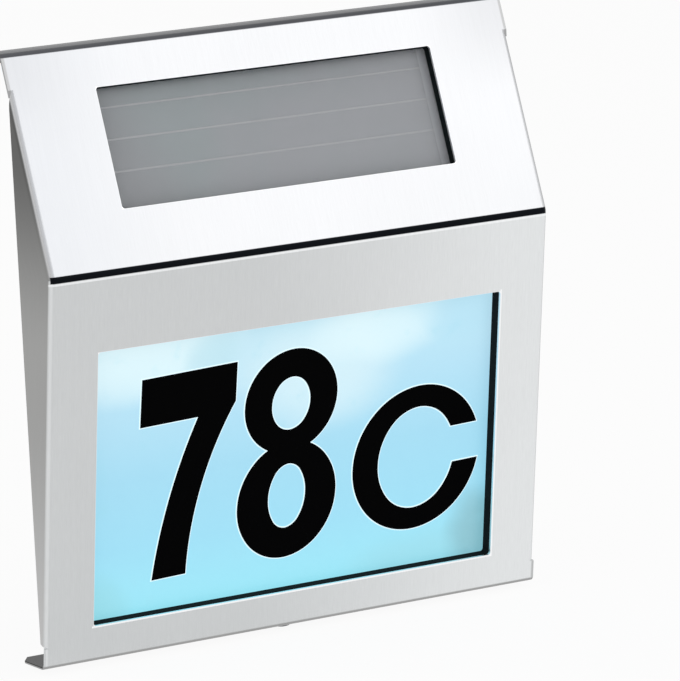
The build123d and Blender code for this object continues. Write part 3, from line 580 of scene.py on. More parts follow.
@dataclass(frozen=True)
class Grained(Finish):
    """Two close tones mixed by one noise, which gives the gloss and the relief as well."""

    tone: Colour
    other: Colour
    rough: float = 0.45
    scale: float = 1.0
    detail: float = 3.0
    strength: float = 0.55
    contrast: Optional[Pair] = (0.3, 0.7)
    gloss_swing: float = 0.12
    specular: float = 0.5
    bump: float = 0.2
    relief: float = 0.02

    def dress(self, shader: Shader) -> None:
        """The tones blend evenly where no contrast is set."""
        grain = shader.cloud(self.scale, self.detail, self.strength)
        blend = grain.rise(*self.contrast) if self.contrast else grain
        shader.surface(
            base_color=shader.mix(blend, self.tone, self.other),
            roughness=self.rough + grain.swing(self.gloss_swing),
            specular_ior_level=self.specular,
            normal=shader.bump(grain, self.bump, self.relief),
        )


@dataclass(frozen=True)
class GlowPool:
    """A soft patch of brighter or deeper light on the lit panel."""

    x: float
    up: float
    width: float
    height: float
    tone: Colour
    share: float


@dataclass(frozen=True)
class LitPanel(Finish):
    """Opal sheet lit from above and behind by cool white lamps."""

    body: Colour = (0.16, 0.23, 0.25)
    mottled: Colour = (0.22, 0.52, 0.62)
    drift: Pair = (14.0, 9.0)
    pool_edge: float = 1.9
    stops: tuple[tuple[float, Colour], ...] = (
        (0.0, (0.235, 0.655, 0.775)),
        (0.25, (0.235, 0.57, 0.73)),
        (0.5, (0.26, 0.55, 0.71)),
        (0.75, (0.35, 0.59, 0.73)),
        (0.95, (0.42, 0.64, 0.745)),
    )
    pools: tuple[GlowPool, ...] = (
        GlowPool(-54, 84, 30, 12, (0.64, 0.77, 0.80), 0.85),
        GlowPool(-16, 80, 20, 10, (0.47, 0.65, 0.73), 0.5),
        GlowPool(10, 72, 26, 17, (0.58, 0.72, 0.77), 0.8),
        GlowPool(32, 84, 22, 10, (0.65, 0.78, 0.81), 0.75),
        GlowPool(64, 84, 12, 9, (0.36, 0.60, 0.73), 0.7),
        GlowPool(-30, 82, 9, 8, (0.36, 0.58, 0.66), 0.5),
        GlowPool(52, 2, 26, 9, (0.23, 0.52, 0.60), 0.45),
        GlowPool(72, 8, 11, 14, (0.15, 0.36, 0.42), 0.85),
        GlowPool(-70, 5, 10, 9, (0.20, 0.52, 0.58), 0.55),
    )

    def dress(self, shader: Shader) -> None:
        """A fall of light down the panel, soft pools under the lamps and faint mottling."""
        x, _, z = shader.axes()
        up = SHAPE.up_face(z) - SHAPE.window_low
        place = shader.place(x, up, 0.0)
        light = shader.ramp(up * (1 / (SHAPE.window_high - SHAPE.window_low)), self.stops)
        drift = shader.noise(place, 0.035, 2.0, 0.5) - 0.5
        for pool in self.pools:
            across = (x + drift * self.drift[0] - pool.x) * (1 / pool.width)
            along = (up + drift * self.drift[1] - pool.up) * (1 / pool.height)
            mask = (across * across + along * along).rise(self.pool_edge, 0.0) * pool.share
            light = shader.mix(mask, light, pool.tone)
        mottle = shader.noise(place, 0.12, 3.0, 0.55)
        shader.surface(
            base_color=shader.mix(mottle, self.body, scaled(self.body, 1.15)),
            roughness=0.28 + mottle * 0.08,
            emission_color=shader.mix(mottle.rise(0.55, 0.8) * 0.22, light, self.mottled),
            emission_strength=1.0,
            specular_ior_level=0.3,
        )


@dataclass(frozen=True)
class FilmMargin(Finish):
    """The clear border of the cut film, where the light leaves its edge."""

    tone: Colour = (0.55, 0.66, 0.70)
    glow: Colour = (0.56, 0.70, 0.75)

    def dress(self, shader: Shader) -> None:
        """Pale and slightly uneven along the cut."""
        cut_edge = shader.cloud(0.9, 2.0, 0.5)
        body, light = (shader.mix(cut_edge, scaled(tone, 0.9), tone) for tone in (self.tone, self.glow))
        rough = 0.35 + cut_edge * 0.1
        shader.surface(base_color=body, roughness=rough, emission_color=light, emission_strength=1.0)


@dataclass(frozen=True)
class WindowGlass(Finish):
    """Thin clear glass over the solar cells."""

    tone: Colour = (0.62, 0.66, 0.68)
    dusty: Pair = (40.0, 16.0)

    def dress(self, shader: Shader) -> None:
        """Mostly clear, with a film of dust that is heavier towards the lower edge."""
        dust = shader.cloud(0.05, 4.0, 0.6)
        low = (shader.axes()[2] - SHAPE.fold_z).rise(*self.dusty)
        shader.surface(
            base_color=shader.mix(dust, scaled(self.tone, 0.94), self.tone),
            roughness=0.24 + dust * 0.08,
            alpha=0.20 + dust * 0.08 + low * 0.02,
            ior=1.5,
        )


@dataclass(frozen=True)
class SolarCell(Finish):
    """Grey-blue amorphous solar strips."""

    tone: Colour = (0.295, 0.345, 0.36)
    warm: Colour = (0.36, 0.35, 0.385)
    end_shade: float = 0.28
    end_start: Pair = (-14.0, -44.0)

    def dress(self, shader: Shader) -> None:
        """Slow shifts between blue and violet grey, deeper at the left end."""
        x, _, z = shader.axes()
        shift = shader.cloud(0.022, 2.0, 0.5, (1.0, 1.0, 0.6)).rise(0.35, 0.65)
        colour = shader.mix(shift, self.tone, self.warm)
        end = (x + (z - SHAPE.fold_z) * 0.5).rise(*self.end_start)
        shader.surface(
            base_color=shader.mix(end, colour, scaled(self.warm, 1 - self.end_shade)),
            roughness=0.45 + shader.cloud(1.6, 2.0, 0.5, (0.3, 1.0, 1.0)).swing(0.1),
            specular_ior_level=0.35,
        )


@dataclass(frozen=True)
class CircuitBoard(Finish):
    """Solder mask over copper tracks."""

    mask: Colour = (0.012, 0.085, 0.035)
    track: Colour = (0.03, 0.15, 0.06)
    pitch: float = 0.45
    track_band: Pair = (0.42, 0.52)

    def dress(self, shader: Shader) -> None:
        """Straight tracks show paler through the mask."""
        place = shader.place(*shader.axes())
        cells = shader.node("ShaderNodeTexVoronoi", {"distance": "CHEBYCHEV", "feature": "F1"},
                            {"Vector": place, "Scale": self.pitch})
        tracks = Field(shader, cells.outputs[0]).band(*self.track_band, 0.04)
        weave = shader.noise(place, 2.5, 2.0, 0.5)
        mask = shader.mix(weave, self.mask, scaled(self.mask, 1.3))
        shader.surface(
            base_color=shader.mix(tracks, mask, self.track),
            roughness=0.34 + weave.swing(0.15),
            normal=shader.bump(tracks, 0.3, 0.03),
            specular_ior_level=0.6,
        )


@dataclass(frozen=True)
class BatterySleeve(Finish):
    """Shrink sleeve on a rechargeable cell, with bare metal at both ends."""

    sleeve: Colour = (0.02, 0.16, 0.07)
    stripe: Colour = (0.75, 0.76, 0.74)
    metal: Colour = (0.7, 0.7, 0.7)
    band: Pair = (12.0, 16.0)
    sleeve_end: Pair = (23.65, 23.85)

    def dress(self, shader: Shader) -> None:
        """A coloured sleeve with one plain band, and steel ends."""
        x = shader.axes()[0]
        ends = abs(x).rise(*self.sleeve_end)
        wrinkle = shader.cloud(1.2, 3.0, 0.6, (0.4, 1.0, 1.0))
        colour = shader.mix(x.band(*self.band, 0.1), self.sleeve, self.stripe)
        shader.surface(
            base_color=shader.mix(ends, colour, self.metal),
            metallic=ends,
            roughness=0.3 + wrinkle.swing(0.15),
            normal=shader.bump(wrinkle, 0.15, 0.05),
        )


FINISHES: tuple[Finish, ...] = (
    CoverSteel("brushed_cover_steel", "cover_steel"),
    SheetSteel("rolled_plate_steel", "plate_steel"),
    PlatedSteel("plated_screw_steel", "screw_steel"),
    PlatedSteel("dark_screw_steel", "screw_steel", tone=(0.16, 0.16, 0.17), rough=0.4),
    PlatedSteel("nickelled_spring_steel", "spring_steel", tone=(0.78, 0.76, 0.70), rough=0.18),
    MouldedPlastic("moulded_black_plastic", "black_plastic"),
    Grained("smooth_black_plastic", "black_plastic", (0.008, 0.0105, 0.0115), (0.0144, 0.0189, 0.0207),
            rough=0.85, scale=0.5, detail=2.0, strength=0.5, contrast=None, gloss_swing=0.2, specular=0.02,
            bump=0.1, relief=0.05),
    LitPanel("lit_opal_acrylic", "opal_acrylic"),
    Grained("satin_black_film", "numeral_film", (0.0008, 0.0008, 0.0009), (0.0016, 0.0016, 0.0018),
            rough=0.6, scale=1.4, strength=0.6, contrast=None, specular=0.01, bump=0.1, relief=0.01),
    FilmMargin("clear_film_margin", "numeral_film"),
    WindowGlass("clear_solar_glass", "solar_glass"),
    SolarCell("grey_blue_cells", "solar_cell"),
    SolarCell("grey_blue_backing", "circuit_board", (0.62, 0.62, 0.68), (0.64, 0.63, 0.68), end_shade=0.1),
    Grained("cell_ribbon", "solar_cell", (0.58, 0.56, 0.58), (0.50, 0.49, 0.52), rough=0.5),
    CircuitBoard("green_circuit_board", "circuit_board"),
    Grained("moulded_chip_black", "chip_black", (0.02, 0.02, 0.02), (0.03, 0.03, 0.03), rough=0.55,
            scale=4.0),
    Grained("white_reflector_sheet", "white_plastic", (0.86, 0.86, 0.84), (0.80, 0.80, 0.78), rough=0.5,
            scale=0.6),
    Grained("clear_lamp_resin", "lamp", (0.90, 0.90, 0.62), (0.82, 0.80, 0.45), rough=0.2, scale=0.8),
    BatterySleeve("green_battery_sleeve", "battery_sleeve"),
    Grained("black_seal_rubber", "seal_rubber", (0.02, 0.02, 0.02), (0.035, 0.035, 0.035), rough=0.8,
            scale=2.0),
)


# --- mesh helpers


def new_piece(name: str, mesh: Mesh) -> Object:
    """Links a mesh as an object at the origin."""
    piece = bpy.data.objects.new(name, mesh)
    bpy.context.scene.collection.objects.link(piece)
    return piece


def mesh_of(name: str, shell: bmesh.types.BMesh) -> Mesh:
    """A mesh from a shell, its faces turned outwards; the shell is freed."""
    bmesh.ops.recalc_face_normals(shell, faces=shell.faces)
    mesh = bpy.data.meshes.new(name)
    shell.to_mesh(mesh)
    shell.free()
    return mesh


def mesh_from(name: str, vertices: Sequence[Vector], faces: Sequence[Sequence[int]]) -> Mesh:
    """A mesh from its vertices and faces, its faces turned outwards.

    Args:
        name: The mesh's name.
        vertices: Places in metres.
        faces: Vertex indices of each face.

    Returns:
        The mesh.
    """
    shell = bmesh.new()
    made = [shell.verts.new(vertex) for vertex in vertices]
    for face in faces:
        shell.faces.new([made[index] for index in face])
    return mesh_of(name, shell)


def turned_shape(name: str, profile: Sequence[tuple[float, float]], segments: int) -> Mesh:
    """A closed shape turned about Z.

    Args:
        name: The mesh's name.
        profile: (radius, height) pairs in millimetres, from the lower pole to the upper one.
        segments: Number of sides.

    Returns:
        The mesh.
    """
    vertices: list[Vector] = []
    rings: list[list[int]] = []
    for radius, height in profile:
        sides = segments if radius else 1
        rings.append([len(vertices) + step for step in range(sides)])
        for step in range(sides):
            angle = 2 * math.pi * step / segments
            vertices.append(Vector((radius * math.cos(angle), radius * math.sin(angle), height)) * MM)
    faces = []
    for lower, upper in zip(rings, rings[1:]):
        for step in range(segments):
            after = (step + 1) % segments
            corners = [lower[step % len(lower)], lower[after % len(lower)],
                       upper[after % len(upper)], upper[step % len(upper)]]
            faces.append([index for place, index in enumerate(corners) if index not in corners[:place]])
    return mesh_from(name, vertices, faces)


def box_mesh(name: str, low: Point, high: Point, bevel: float = 0.0) -> Mesh:
    """A block between two corners in millimetres, its edges rounded by a bevel.

    Args:
        name: The mesh's name.
        low: Lowest corner.
        high: Highest corner.
        bevel: Width of the rounded edges.

    Returns:
        The mesh, in metres.
    """
    shell = bmesh.new()
    bmesh.ops.create_cube(shell, size=1.0)
    for vertex in shell.verts:
        vertex.co = Vector([(low[axis] if vertex.co[axis] < 0 else high[axis]) * MM for axis in range(3)])
    if bevel:
        bmesh.ops.bevel(shell, geom=shell.edges[:], offset=bevel * MM, segments=2, affect="EDGES",
                        profile=0.5)
    return mesh_of(name, shell)


def cut(name: str, mesh: Mesh, tools: Sequence[Mesh]) -> Mesh:
    """A mesh less several others.

    Args:
        name: The result's name.
        mesh: What is cut.
        tools: What cuts it.

    Returns:
        The mesh that is left.
    """
    blank = new_piece(name + "_blank", mesh)
    helpers = [new_piece(f"{name}_tool_{index}", tool) for index, tool in enumerate(tools)]
    for helper in helpers:
        modifier = blank.modifiers.new("cut", "BOOLEAN")
        modifier.operation = "DIFFERENCE"
        modifier.solver = "EXACT"
        modifier.object = helper
    depsgraph = bpy.context.evaluated_depsgraph_get()
    result = bpy.data.meshes.new_from_object(blank.evaluated_get(depsgraph))
    result.name = name
    for used in (blank, *helpers):
        bpy.data.objects.remove(used)
    return result


# --- geometry nodes


@dataclass(frozen=True)
class Copies:
    """One shape, about its own origin, and the places in metres of its copies.

    A copy is turned, and then turned unevenly about the shape's Z by up to some radians.
    """

    name: str
    shape: Mesh
    places: Sequence[Vector]
    turn: Matrix
    uneven: float = 0.0
    seed: int = 1


class RepeatTree(NodeTree):
    """A Geometry Nodes tree that sets copies of one shape at the points of its mesh.

    Its inputs are the shape, the finish, a turn and the copies' uneven turning and seed.
    """

    KINDS = {"Shape": "Object", "Finish": "Material", "Turn": "Rotation", "Uneven turn": "Float",
             "Seed": "Int"}

    def __init__(self, name: str) -> None:
        """Builds the tree."""
        super().__init__(bpy.data.node_groups.new(name, "GeometryNodeTree"))
        face = self.tree.interface
        face.new_socket("Points", in_out="INPUT", socket_type="NodeSocketGeometry")
        self.inputs = {}
        for label, kind in self.KINDS.items():
            socket = face.new_socket(label, in_out="INPUT", socket_type="NodeSocket" + kind)
            self.inputs[label] = socket.identifier
        face.new_socket("Copies", in_out="OUTPUT", socket_type="NodeSocketGeometry")
        given = self.node("NodeGroupInput", {}, {}).outputs
        shape = self.node("GeometryNodeObjectInfo", {}, {"Object": given["Shape"]})
        most = Field(self, given["Uneven turn"])
        angle = self.node("FunctionNodeRandomValue", {"data_type": "FLOAT"},
                          {"Min": most * -1.0, "Max": most, "Seed": given["Seed"]})
        value = next(socket for socket in angle.outputs if socket.enabled)
        uneven = self.node("FunctionNodeAxisAngleToRotation", {}, {"Angle": value})
        turn = self.node("FunctionNodeRotateRotation", {"rotation_space": "LOCAL"},
                         {"Rotation": given["Turn"], "Rotate By": uneven.outputs[0]})
        copies = self.node("GeometryNodeInstanceOnPoints", {}, {
            "Points": given["Points"], "Instance": shape.outputs["Geometry"], "Rotation": turn.outputs[0]})
        real = self.node("GeometryNodeRealizeInstances", {}, {0: copies.outputs[0]})
        dressed = self.node("GeometryNodeSetMaterial", {},
                            {"Geometry": real.outputs[0], "Material": given["Finish"]})
        self.node("NodeGroupOutput", {}, {0: dressed.outputs[0]})

    def piece(self, copies: Copies, finish: Material) -> Object:
        """Makes one plain piece of all the copies.

        Args:
            copies: The shape and its places.
            finish: The material.

        Returns:
            The piece, at the origin, with no modifier left.
        """
        source = new_piece(copies.name + "_shape", copies.shape)
        carrier = bpy.data.meshes.new(copies.name + "_points")
        carrier.from_pydata([tuple(place) for place in copies.places], [], [])
        piece = new_piece(copies.name, carrier)
        modifier = piece.modifiers.new("copies", "NODES")
        modifier.node_group = self.tree
        values = {"Shape": source, "Finish": finish, "Turn": copies.turn.to_euler(),
                  "Uneven turn": copies.uneven, "Seed": copies.seed}
        for label, value in values.items():
            modifier[self.inputs[label]] = value
        depsgraph = bpy.context.evaluated_depsgraph_get()
        mesh = bpy.data.meshes.new_from_object(piece.evaluated_get(depsgraph))
        piece.modifiers.remove(modifier)
        piece.data = mesh
        mesh.name = copies.name
        bpy.data.objects.remove(source)
        bpy.data.meshes.remove(carrier)
        return piece


class Finishes:
    """Every finish of the sign, made once and shared by its pieces."""

    def __init__(self) -> None:
        """Makes the materials."""
        self.slots = {finish.name: finish.slot for finish in FINISHES}
        self.materials = {finish.name: finish.material() for finish in FINISHES}

    def dress(self, piece: Object, finish: str) -> None:
        """Puts a finish on an object."""
        piece.data.materials.clear()
        piece.data.materials.append(self.materials[finish])


# --- screws


@dataclass(frozen=True)
class ScrewShape:
    """A small screw with a cross recess and a thread, its head's face at Z = 0 and its tip below.

    Sizes are in millimetres.
    """

    shank: float
    length: float
    head: float
    head_height: float
    dome: float
    recess: float
    pitch: float = 0.7
    root_share: float = 0.82
    tip_share: float = 0.35
    bar_share: float = 0.13
    deep_share: float = 0.8
    sides: int = 20

    def mesh(self, name: str) -> Mesh:
        """Turns the screw and cuts its recess."""
        radius = self.shank / 2
        root = radius * self.root_share
        profile = [(0.0, -self.length), (radius * self.tip_share, -self.length)]
        height = -self.length + radius
        while height < -self.head_height - self.pitch:
            profile += [(root, height), (radius, height + self.pitch / 2)]
            height += self.pitch
        rim = self.head / 2
        profile += [(root, -self.head_height), (rim, -self.head_height), (rim, -self.dome),
                    (self.head * 0.42, -self.dome * 0.35), (self.head * 0.3, 0.0), (0.0, 0.0)]
        blank = turned_shape(name, profile, self.sides)
        arm, half = self.recess / 2, self.recess * self.bar_share
        deep = -self.head_height * self.deep_share
        bars = [box_mesh(name + "_bar", (-arm, -half, deep), (arm, half, 1.0)),
                box_mesh(name + "_bar", (-half, -arm, deep), (half, arm, 1.0))]
        return cut(name, blank, bars)


# --- sub-assemblies


@dataclass
class Maker:
    """What every sub-assembly shares: the finishes and the tree that repeats a shape."""

    finishes: Finishes
    repeats: RepeatTree

    def add(self, piece: Object, finish: str, replaced: Sequence[str] = (),
            body: Body = Body.SIGN) -> None:
        """Dresses a new piece and joins it to its body.

        Args:
            piece: The finished piece.
            finish: Its finish.
            replaced: Solids that it stands for.
            body: The body that it moves with.
        """
        self.finishes.dress(piece, finish)
        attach(piece, body.value)
        if replaced:
            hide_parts(*replaced)
        log.info("%s rides on %s, %d faces", piece.name, body.value, len(piece.data.polygons))

    def finish_nodes(self, finish: str, *nodes: str) -> None:
        """Puts one finish on several solids."""
        for node in nodes:
            self.finishes.dress(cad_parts[node], finish)
            log.info("%s is finished as %s", node, finish)

    def add_copies(self, copies: Copies, finish: str, replaced: Sequence[str] = (),
                   body: Body = Body.SIGN) -> None:
        """Adds one piece made of a shape's copies, with its finish, solids it stands for and body."""
        self.add(self.repeats.piece(copies, self.finishes.materials[finish]), finish, replaced, body)

    def add_screws(self, node: str, screw: ScrewShape, outwards: Point, sides: Sequence[int], seed: int,
                   finish: str = "plated_screw_steel", uneven: float = 0.9, body: Body = Body.SIGN) -> None:
        """Puts screws with recessed heads in place of a solid's plain ones.

        Args:
            node: The plain screws.
            screw: The shape of one screw.
            outwards: Which way the heads look, along Y or Z.
            sides: One number per screw: -1 at the left end of the solid's box, 0 amid it, 1 at the right.
            seed: Seed of the uneven turns.
            finish: Their finish.
            uneven: Largest extra turn of a screw, in radians.
            body: The body that they move with.
        """
        low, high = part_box(node)
        half = (high - low) / 2
        face = (low + high) / 2 + Vector([part * size for part, size in zip(outwards, half)])
        reach = half.x - screw.head / 2 * MM
        places = [face + Vector((side * reach, 0, 0)) for side in sides]
        turn = Matrix.Rotation(math.atan2(-outwards[1], outwards[2]), 3, "X")
        copies = Copies(node + "_detailed", screw.mesh(node + "_shape"), places, turn, uneven, seed)
        self.add_copies(copies, finish, (node,), body)


@dataclass
class Cover(Maker):
    """The folded cover with its windows' frames."""

    def build(self) -> None:
        """Finishes the cover and the frames."""
        self.finish_nodes("brushed_cover_steel", "front_cover")
        self.finish_nodes("smooth_black_plastic", "window_frame", "solar_frame")
        self.finish_nodes("rolled_plate_steel", "weld_studs")
        self.finish_nodes("plated_screw_steel", "housing_nuts")


@dataclass
class NumberWindow(Maker):
    """The lit panel with its numerals, and the clear border of their film."""

    margin: float = 0.36
    margin_height: float = 0.12
    facing: float = 0.9
    least_stretch: float = 0.45
    numerals: tuple[str, ...] = ("number_seven", "number_eight", "letter_c")

    def build(self) -> None:
        """Finishes the panel and numerals, and adds the film's borders."""
        self.finish_nodes("lit_opal_acrylic", "number_panel")
        self.finish_nodes("satin_black_film", *self.numerals)
        for numeral in self.numerals:
            self.add(new_piece(numeral + "_margin", self._margin_mesh(numeral)), "clear_film_margin")

    def _outlines(self, node: str) -> list[list[Pair]]:
        """The closed outlines of a numeral, as (x, up) on the face in millimetres."""
        plane = SHAPE.face()
        shell = bmesh.new()
        shell.from_mesh(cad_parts[node].data)
        bmesh.ops.remove_doubles(shell, verts=shell.verts, dist=1e-6)
        shell.normal_update()
        rest = [face for face in shell.faces if face.normal.dot(plane.out()) < self.facing]
        bmesh.ops.delete(shell, geom=rest, context="FACES")
        after = {}
        for edge in shell.edges:
            if edge.is_boundary:
                loop = edge.link_loops[0]
                after[loop.vert] = loop.link_loop_next.vert
        outlines = []
        while after:
            start, vertex = next(iter(after.items()))
            del after[start]
            chain = [start]
            while vertex is not start:
                chain.append(vertex)
                vertex = after.pop(vertex)
            outlines.append([self._flat(corner.co, plane) for corner in chain])
        shell.free()
        return outlines

    @staticmethod
    def _flat(place: Vector, plane: SlantedPlane) -> Pair:
        """A place in metres as (x, up) on the face in millimetres."""
        y, z = place.y / MM - plane.y, place.z / MM - plane.z
        return place.x / MM, y * plane.up_y + z * plane.up_z

    def _margin_mesh(self, node: str) -> Mesh:
        """A flat border round each outline, which lies on the panel."""
        plane = SHAPE.face()
        rear = SHAPE.number_recess
        front = rear - self.margin_height
        vertices: list[Vector] = []
        faces: list[list[int]] = []
        for outline in self._outlines(node):
            first = len(vertices)
            count = len(outline)
            for index, (x, up) in enumerate(outline):
                side = self._outwards(outline[index - 1], (x, up), outline[(index + 1) % count])
                far = (x + side[0] * self.margin, up + side[1] * self.margin)
                for (across, along), depth in (((x, up), front), (far, front), (far, rear), ((x, up), rear)):
                    vertices.append(plane.point(across, along, depth))
            for index in range(count):
                here, there = first + 4 * index, first + 4 * ((index + 1) % count)
                for corner in range(4):
                    turn = (corner + 1) % 4
                    faces.append([here + corner, there + corner, there + turn, here + turn])
        return mesh_from(node + "_margin", vertices, faces)

    def _outwards(self, before: Pair, here: Pair, after: Pair) -> Pair:
        """Where an outline's corner moves when the outline grows by 1.

        Args:
            before: The corner before it.
            here: The corner.
            after: The corner after it.

        Returns:
            The move, which is longer at a sharp corner.
        """
        one = Vector((here[0] - before[0], here[1] - before[1])).normalized()
        two = Vector((after[0] - here[0], after[1] - here[1])).normalized()
        mean = Vector((one.y + two.y, -one.x - two.x))
        if mean.length < 1e-6:
            return one.y, -one.x
        mean.normalize()
        stretch = 1 / max(self.least_stretch, mean.dot(Vector((one.y, -one.x))))
        return mean.x * stretch, mean.y * stretch


@dataclass
class SolarWindow(Maker):
    """The solar panel under its glass: strips of cells with a ribbon in each gap between them."""

    gaps: tuple[float, ...] = (32.2, 42.65, 53.05)
    gap: float = 0.7
    overlap: float = 2.0
    end_margin: float = 2.5
    ribbon: float = 0.58
    front: float = 4.84
    rear: float = 5.1
    ribbon_thickness: float = 0.2

    def build(self) -> None:
        """Finishes the panel, sets its strips at their heights in the photograph and lays the ribbons."""
        self.finish_nodes("clear_solar_glass", "solar_glass")
        self.finish_nodes("grey_blue_backing", "solar_board")
        half = SHAPE.solar_half - self.end_margin
        self.add(new_piece("cell_strips", self._strips(half)), "grey_blue_cells", ("solar_cells",))
        plane = SHAPE.hood()
        places = [plane.point(0.0, middle, self.rear) for middle in self.gaps]
        ribbon = box_mesh("ribbon", (-half, -self.ribbon / 2, 0.0),
                          (half, self.ribbon / 2, self.ribbon_thickness))
        self.add_copies(Copies("cell_ribbons", ribbon, places, plane.turn()), "cell_ribbon")

    def _strips(self, half: float) -> Mesh:
        """Thin blocks between the gaps, over the same area as the solid's strips."""
        plane = SHAPE.hood()
        ends = [SHAPE.solar_low - self.overlap]
        for middle in self.gaps:
            ends += [middle - self.gap / 2, middle + self.gap / 2]
        ends.append(SHAPE.solar_high + self.overlap)
        vertices: list[Vector] = []
        faces: list[list[int]] = []
        for low, high in zip(ends[::2], ends[1::2]):
            first = len(vertices)
            for depth in (self.front, self.rear):
                for x, up in ((-half, low), (half, low), (half, high), (-half, high)):
                    vertices.append(plane.point(x, up, depth))
            faces += [[first + index for index in side] for side in BLOCK_FACES]
        return mesh_from("cell_strips", vertices, faces)


@dataclass
class Tray(Maker):
    """The black tray with its battery lid, seal, lid screws and the low ribs on its back."""

    screw: ScrewShape = ScrewShape(shank=2.2, length=7.0, head=4.2, head_height=1.0, dome=0.2, recess=2.6)
    rib_places: tuple[float, ...] = (26.0, 37.0, 48.0, 59.0, 70.0)
    rib_low: float = -132.0
    rib_high: float = -66.0
    rib_width: float = 1.2
    rib_height: float = 0.8
    rib_root: float = 0.2
    rib_bevel: float = 0.3

    def build(self) -> None:
        """Finishes the tray, replaces the lid's plain screws and adds the ribs."""
        self.finish_nodes("moulded_black_plastic", "rear_housing", "battery_cover")
        self.finish_nodes("black_seal_rubber", "battery_seal")
        self.add_screws("battery_cover_screws", self.screw, (0, 1, 0), (-1, 1), seed=4)
        self._ribs()

    def _ribs(self) -> None:
        """Upright ribs on the lower back, clear of the wall plate and of the wall screws' heads."""
        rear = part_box("rear_housing")[1].y
        half = (self.rib_high - self.rib_low) / 2
        middle = (self.rib_high + self.rib_low) / 2 * MM
        places = [Vector((side * x * MM, rear, middle)) for x in self.rib_places for side in (-1, 1)]
        rib = box_mesh("rib", (-self.rib_width / 2, -self.rib_root, -half),
                       (self.rib_width / 2, self.rib_height, half), self.rib_bevel)
        self.add_copies(Copies("tray_ribs", rib, places, Matrix.Identity(3)), "moulded_black_plastic")


@dataclass
class LightBox(Maker):
    """The lamps on their board, and the reflector."""

    count: int = 6
    half: float = 2.5
    lens: tuple[Pair, ...] = ((0.0, 0.0), (2.25, 0.0), (2.25, 0.5), (1.8, 1.1), (1.0, 1.5), (0.0, 1.6))
    lens_sides: int = 20

    def build(self) -> None:
        """Finishes the light box and replaces its plain lamps."""
        self.finish_nodes("green_circuit_board", "led_board")
        self.finish_nodes("white_reflector_sheet", "reflector")
        low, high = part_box("leds")
        first, last = low.x + self.half * MM, high.x - self.half * MM
        places = [Vector((first + (last - first) * index / (self.count - 1), (low.y + high.y) / 2, high.z))
                  for index in range(self.count)]
        lens = turned_shape("lens", self.lens, self.lens_sides)
        lamps = Copies("lamps", lens, places, Matrix.Rotation(math.pi, 3, "X"))
        self.add_copies(lamps, "clear_lamp_resin", ("leds",))


@dataclass
class Power(Maker):
    """Battery, contacts, circuit and switch."""

    screw: ScrewShape = ScrewShape(shank=2.0, length=4.8, head=3.8, head_height=1.2, dome=0.7, recess=2.2)
    grip_count: int = 4
    grip_pitch: float = 0.55
    ridge_half: float = 0.13
    ridge_root: float = 0.1
    ridge_height: float = 0.15
    ridge_bevel: float = 0.05

    def build(self) -> None:
        """Finishes the parts, replaces the board's plain screws and adds the slider's grip."""
        self.finish_nodes("green_battery_sleeve", "battery")
        self.finish_nodes("nickelled_spring_steel", "battery_contact", "battery_spring")
        self.finish_nodes("green_circuit_board", "control_board")
        self.finish_nodes("moulded_chip_black", "board_parts", "switch_body")
        self.finish_nodes("white_reflector_sheet", "switch_slider")
        self.add_screws("board_screws", self.screw, (0, -1, 0), (-1, 1), seed=9)
        self._grip()

    def _grip(self) -> None:
        """Small ridges across the end of the slider."""
        low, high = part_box("switch_slider")
        start = (low.x + high.x) / 2 - (self.grip_count - 1) / 2 * self.grip_pitch * MM
        places = [Vector((start + index * self.grip_pitch * MM, high.y, (low.z + high.z) / 2))
                  for index in range(self.grip_count)]
        half = (high.z - low.z) / 2 / MM
        ridge = box_mesh("ridge", (-self.ridge_half, -self.ridge_root, -half),
                         (self.ridge_half, self.ridge_height, half), self.ridge_bevel)
        grip = Copies("slider_grip", ridge, places, Matrix.Identity(3))
        self.add_copies(grip, "white_reflector_sheet", body=Body.SLIDER)


@dataclass
class WallMount(Maker):
    """The wall plate with its nut and locking screw."""

    screw: ScrewShape = ScrewShape(shank=4.0, length=7.5, head=6.5, head_height=1.6, dome=0.7, recess=3.6)

    def build(self) -> None:
        """Finishes the wall plate and nut, and replaces the plain locking screw."""
        self.finish_nodes("rolled_plate_steel", "wall_plate")
        self.finish_nodes("plated_screw_steel", "lock_nut")
        self.add_screws("locking_screw", self.screw, (0, 0, -1), (0,), seed=2, finish="dark_screw_steel",
                        uneven=0.5, body=Body.SCREW)


# --- studio


@dataclass(frozen=True)
class SoftBox:
    """One soft studio lamp: where it stands, its size, and its brightness as seen from the sign."""

    name: str
    place: Point
    width: float
    height: float
    brightness: float

    def build(self, target: Vector) -> None:
        """Makes the lamp and turns it to the target."""
        lamp = bpy.data.lights.new(self.name, "AREA")
        lamp.shape = "RECTANGLE"
        lamp.size, lamp.size_y = self.width, self.height
        lamp.energy = self.brightness * math.pi * self.width * self.height
        holder = bpy.data.objects.new(self.name, lamp)
        holder.location = self.place
        holder.rotation_euler = (Vector(self.place) - target).to_track_quat("Z", "Y").to_euler()
        bpy.context.scene.collection.objects.link(holder)


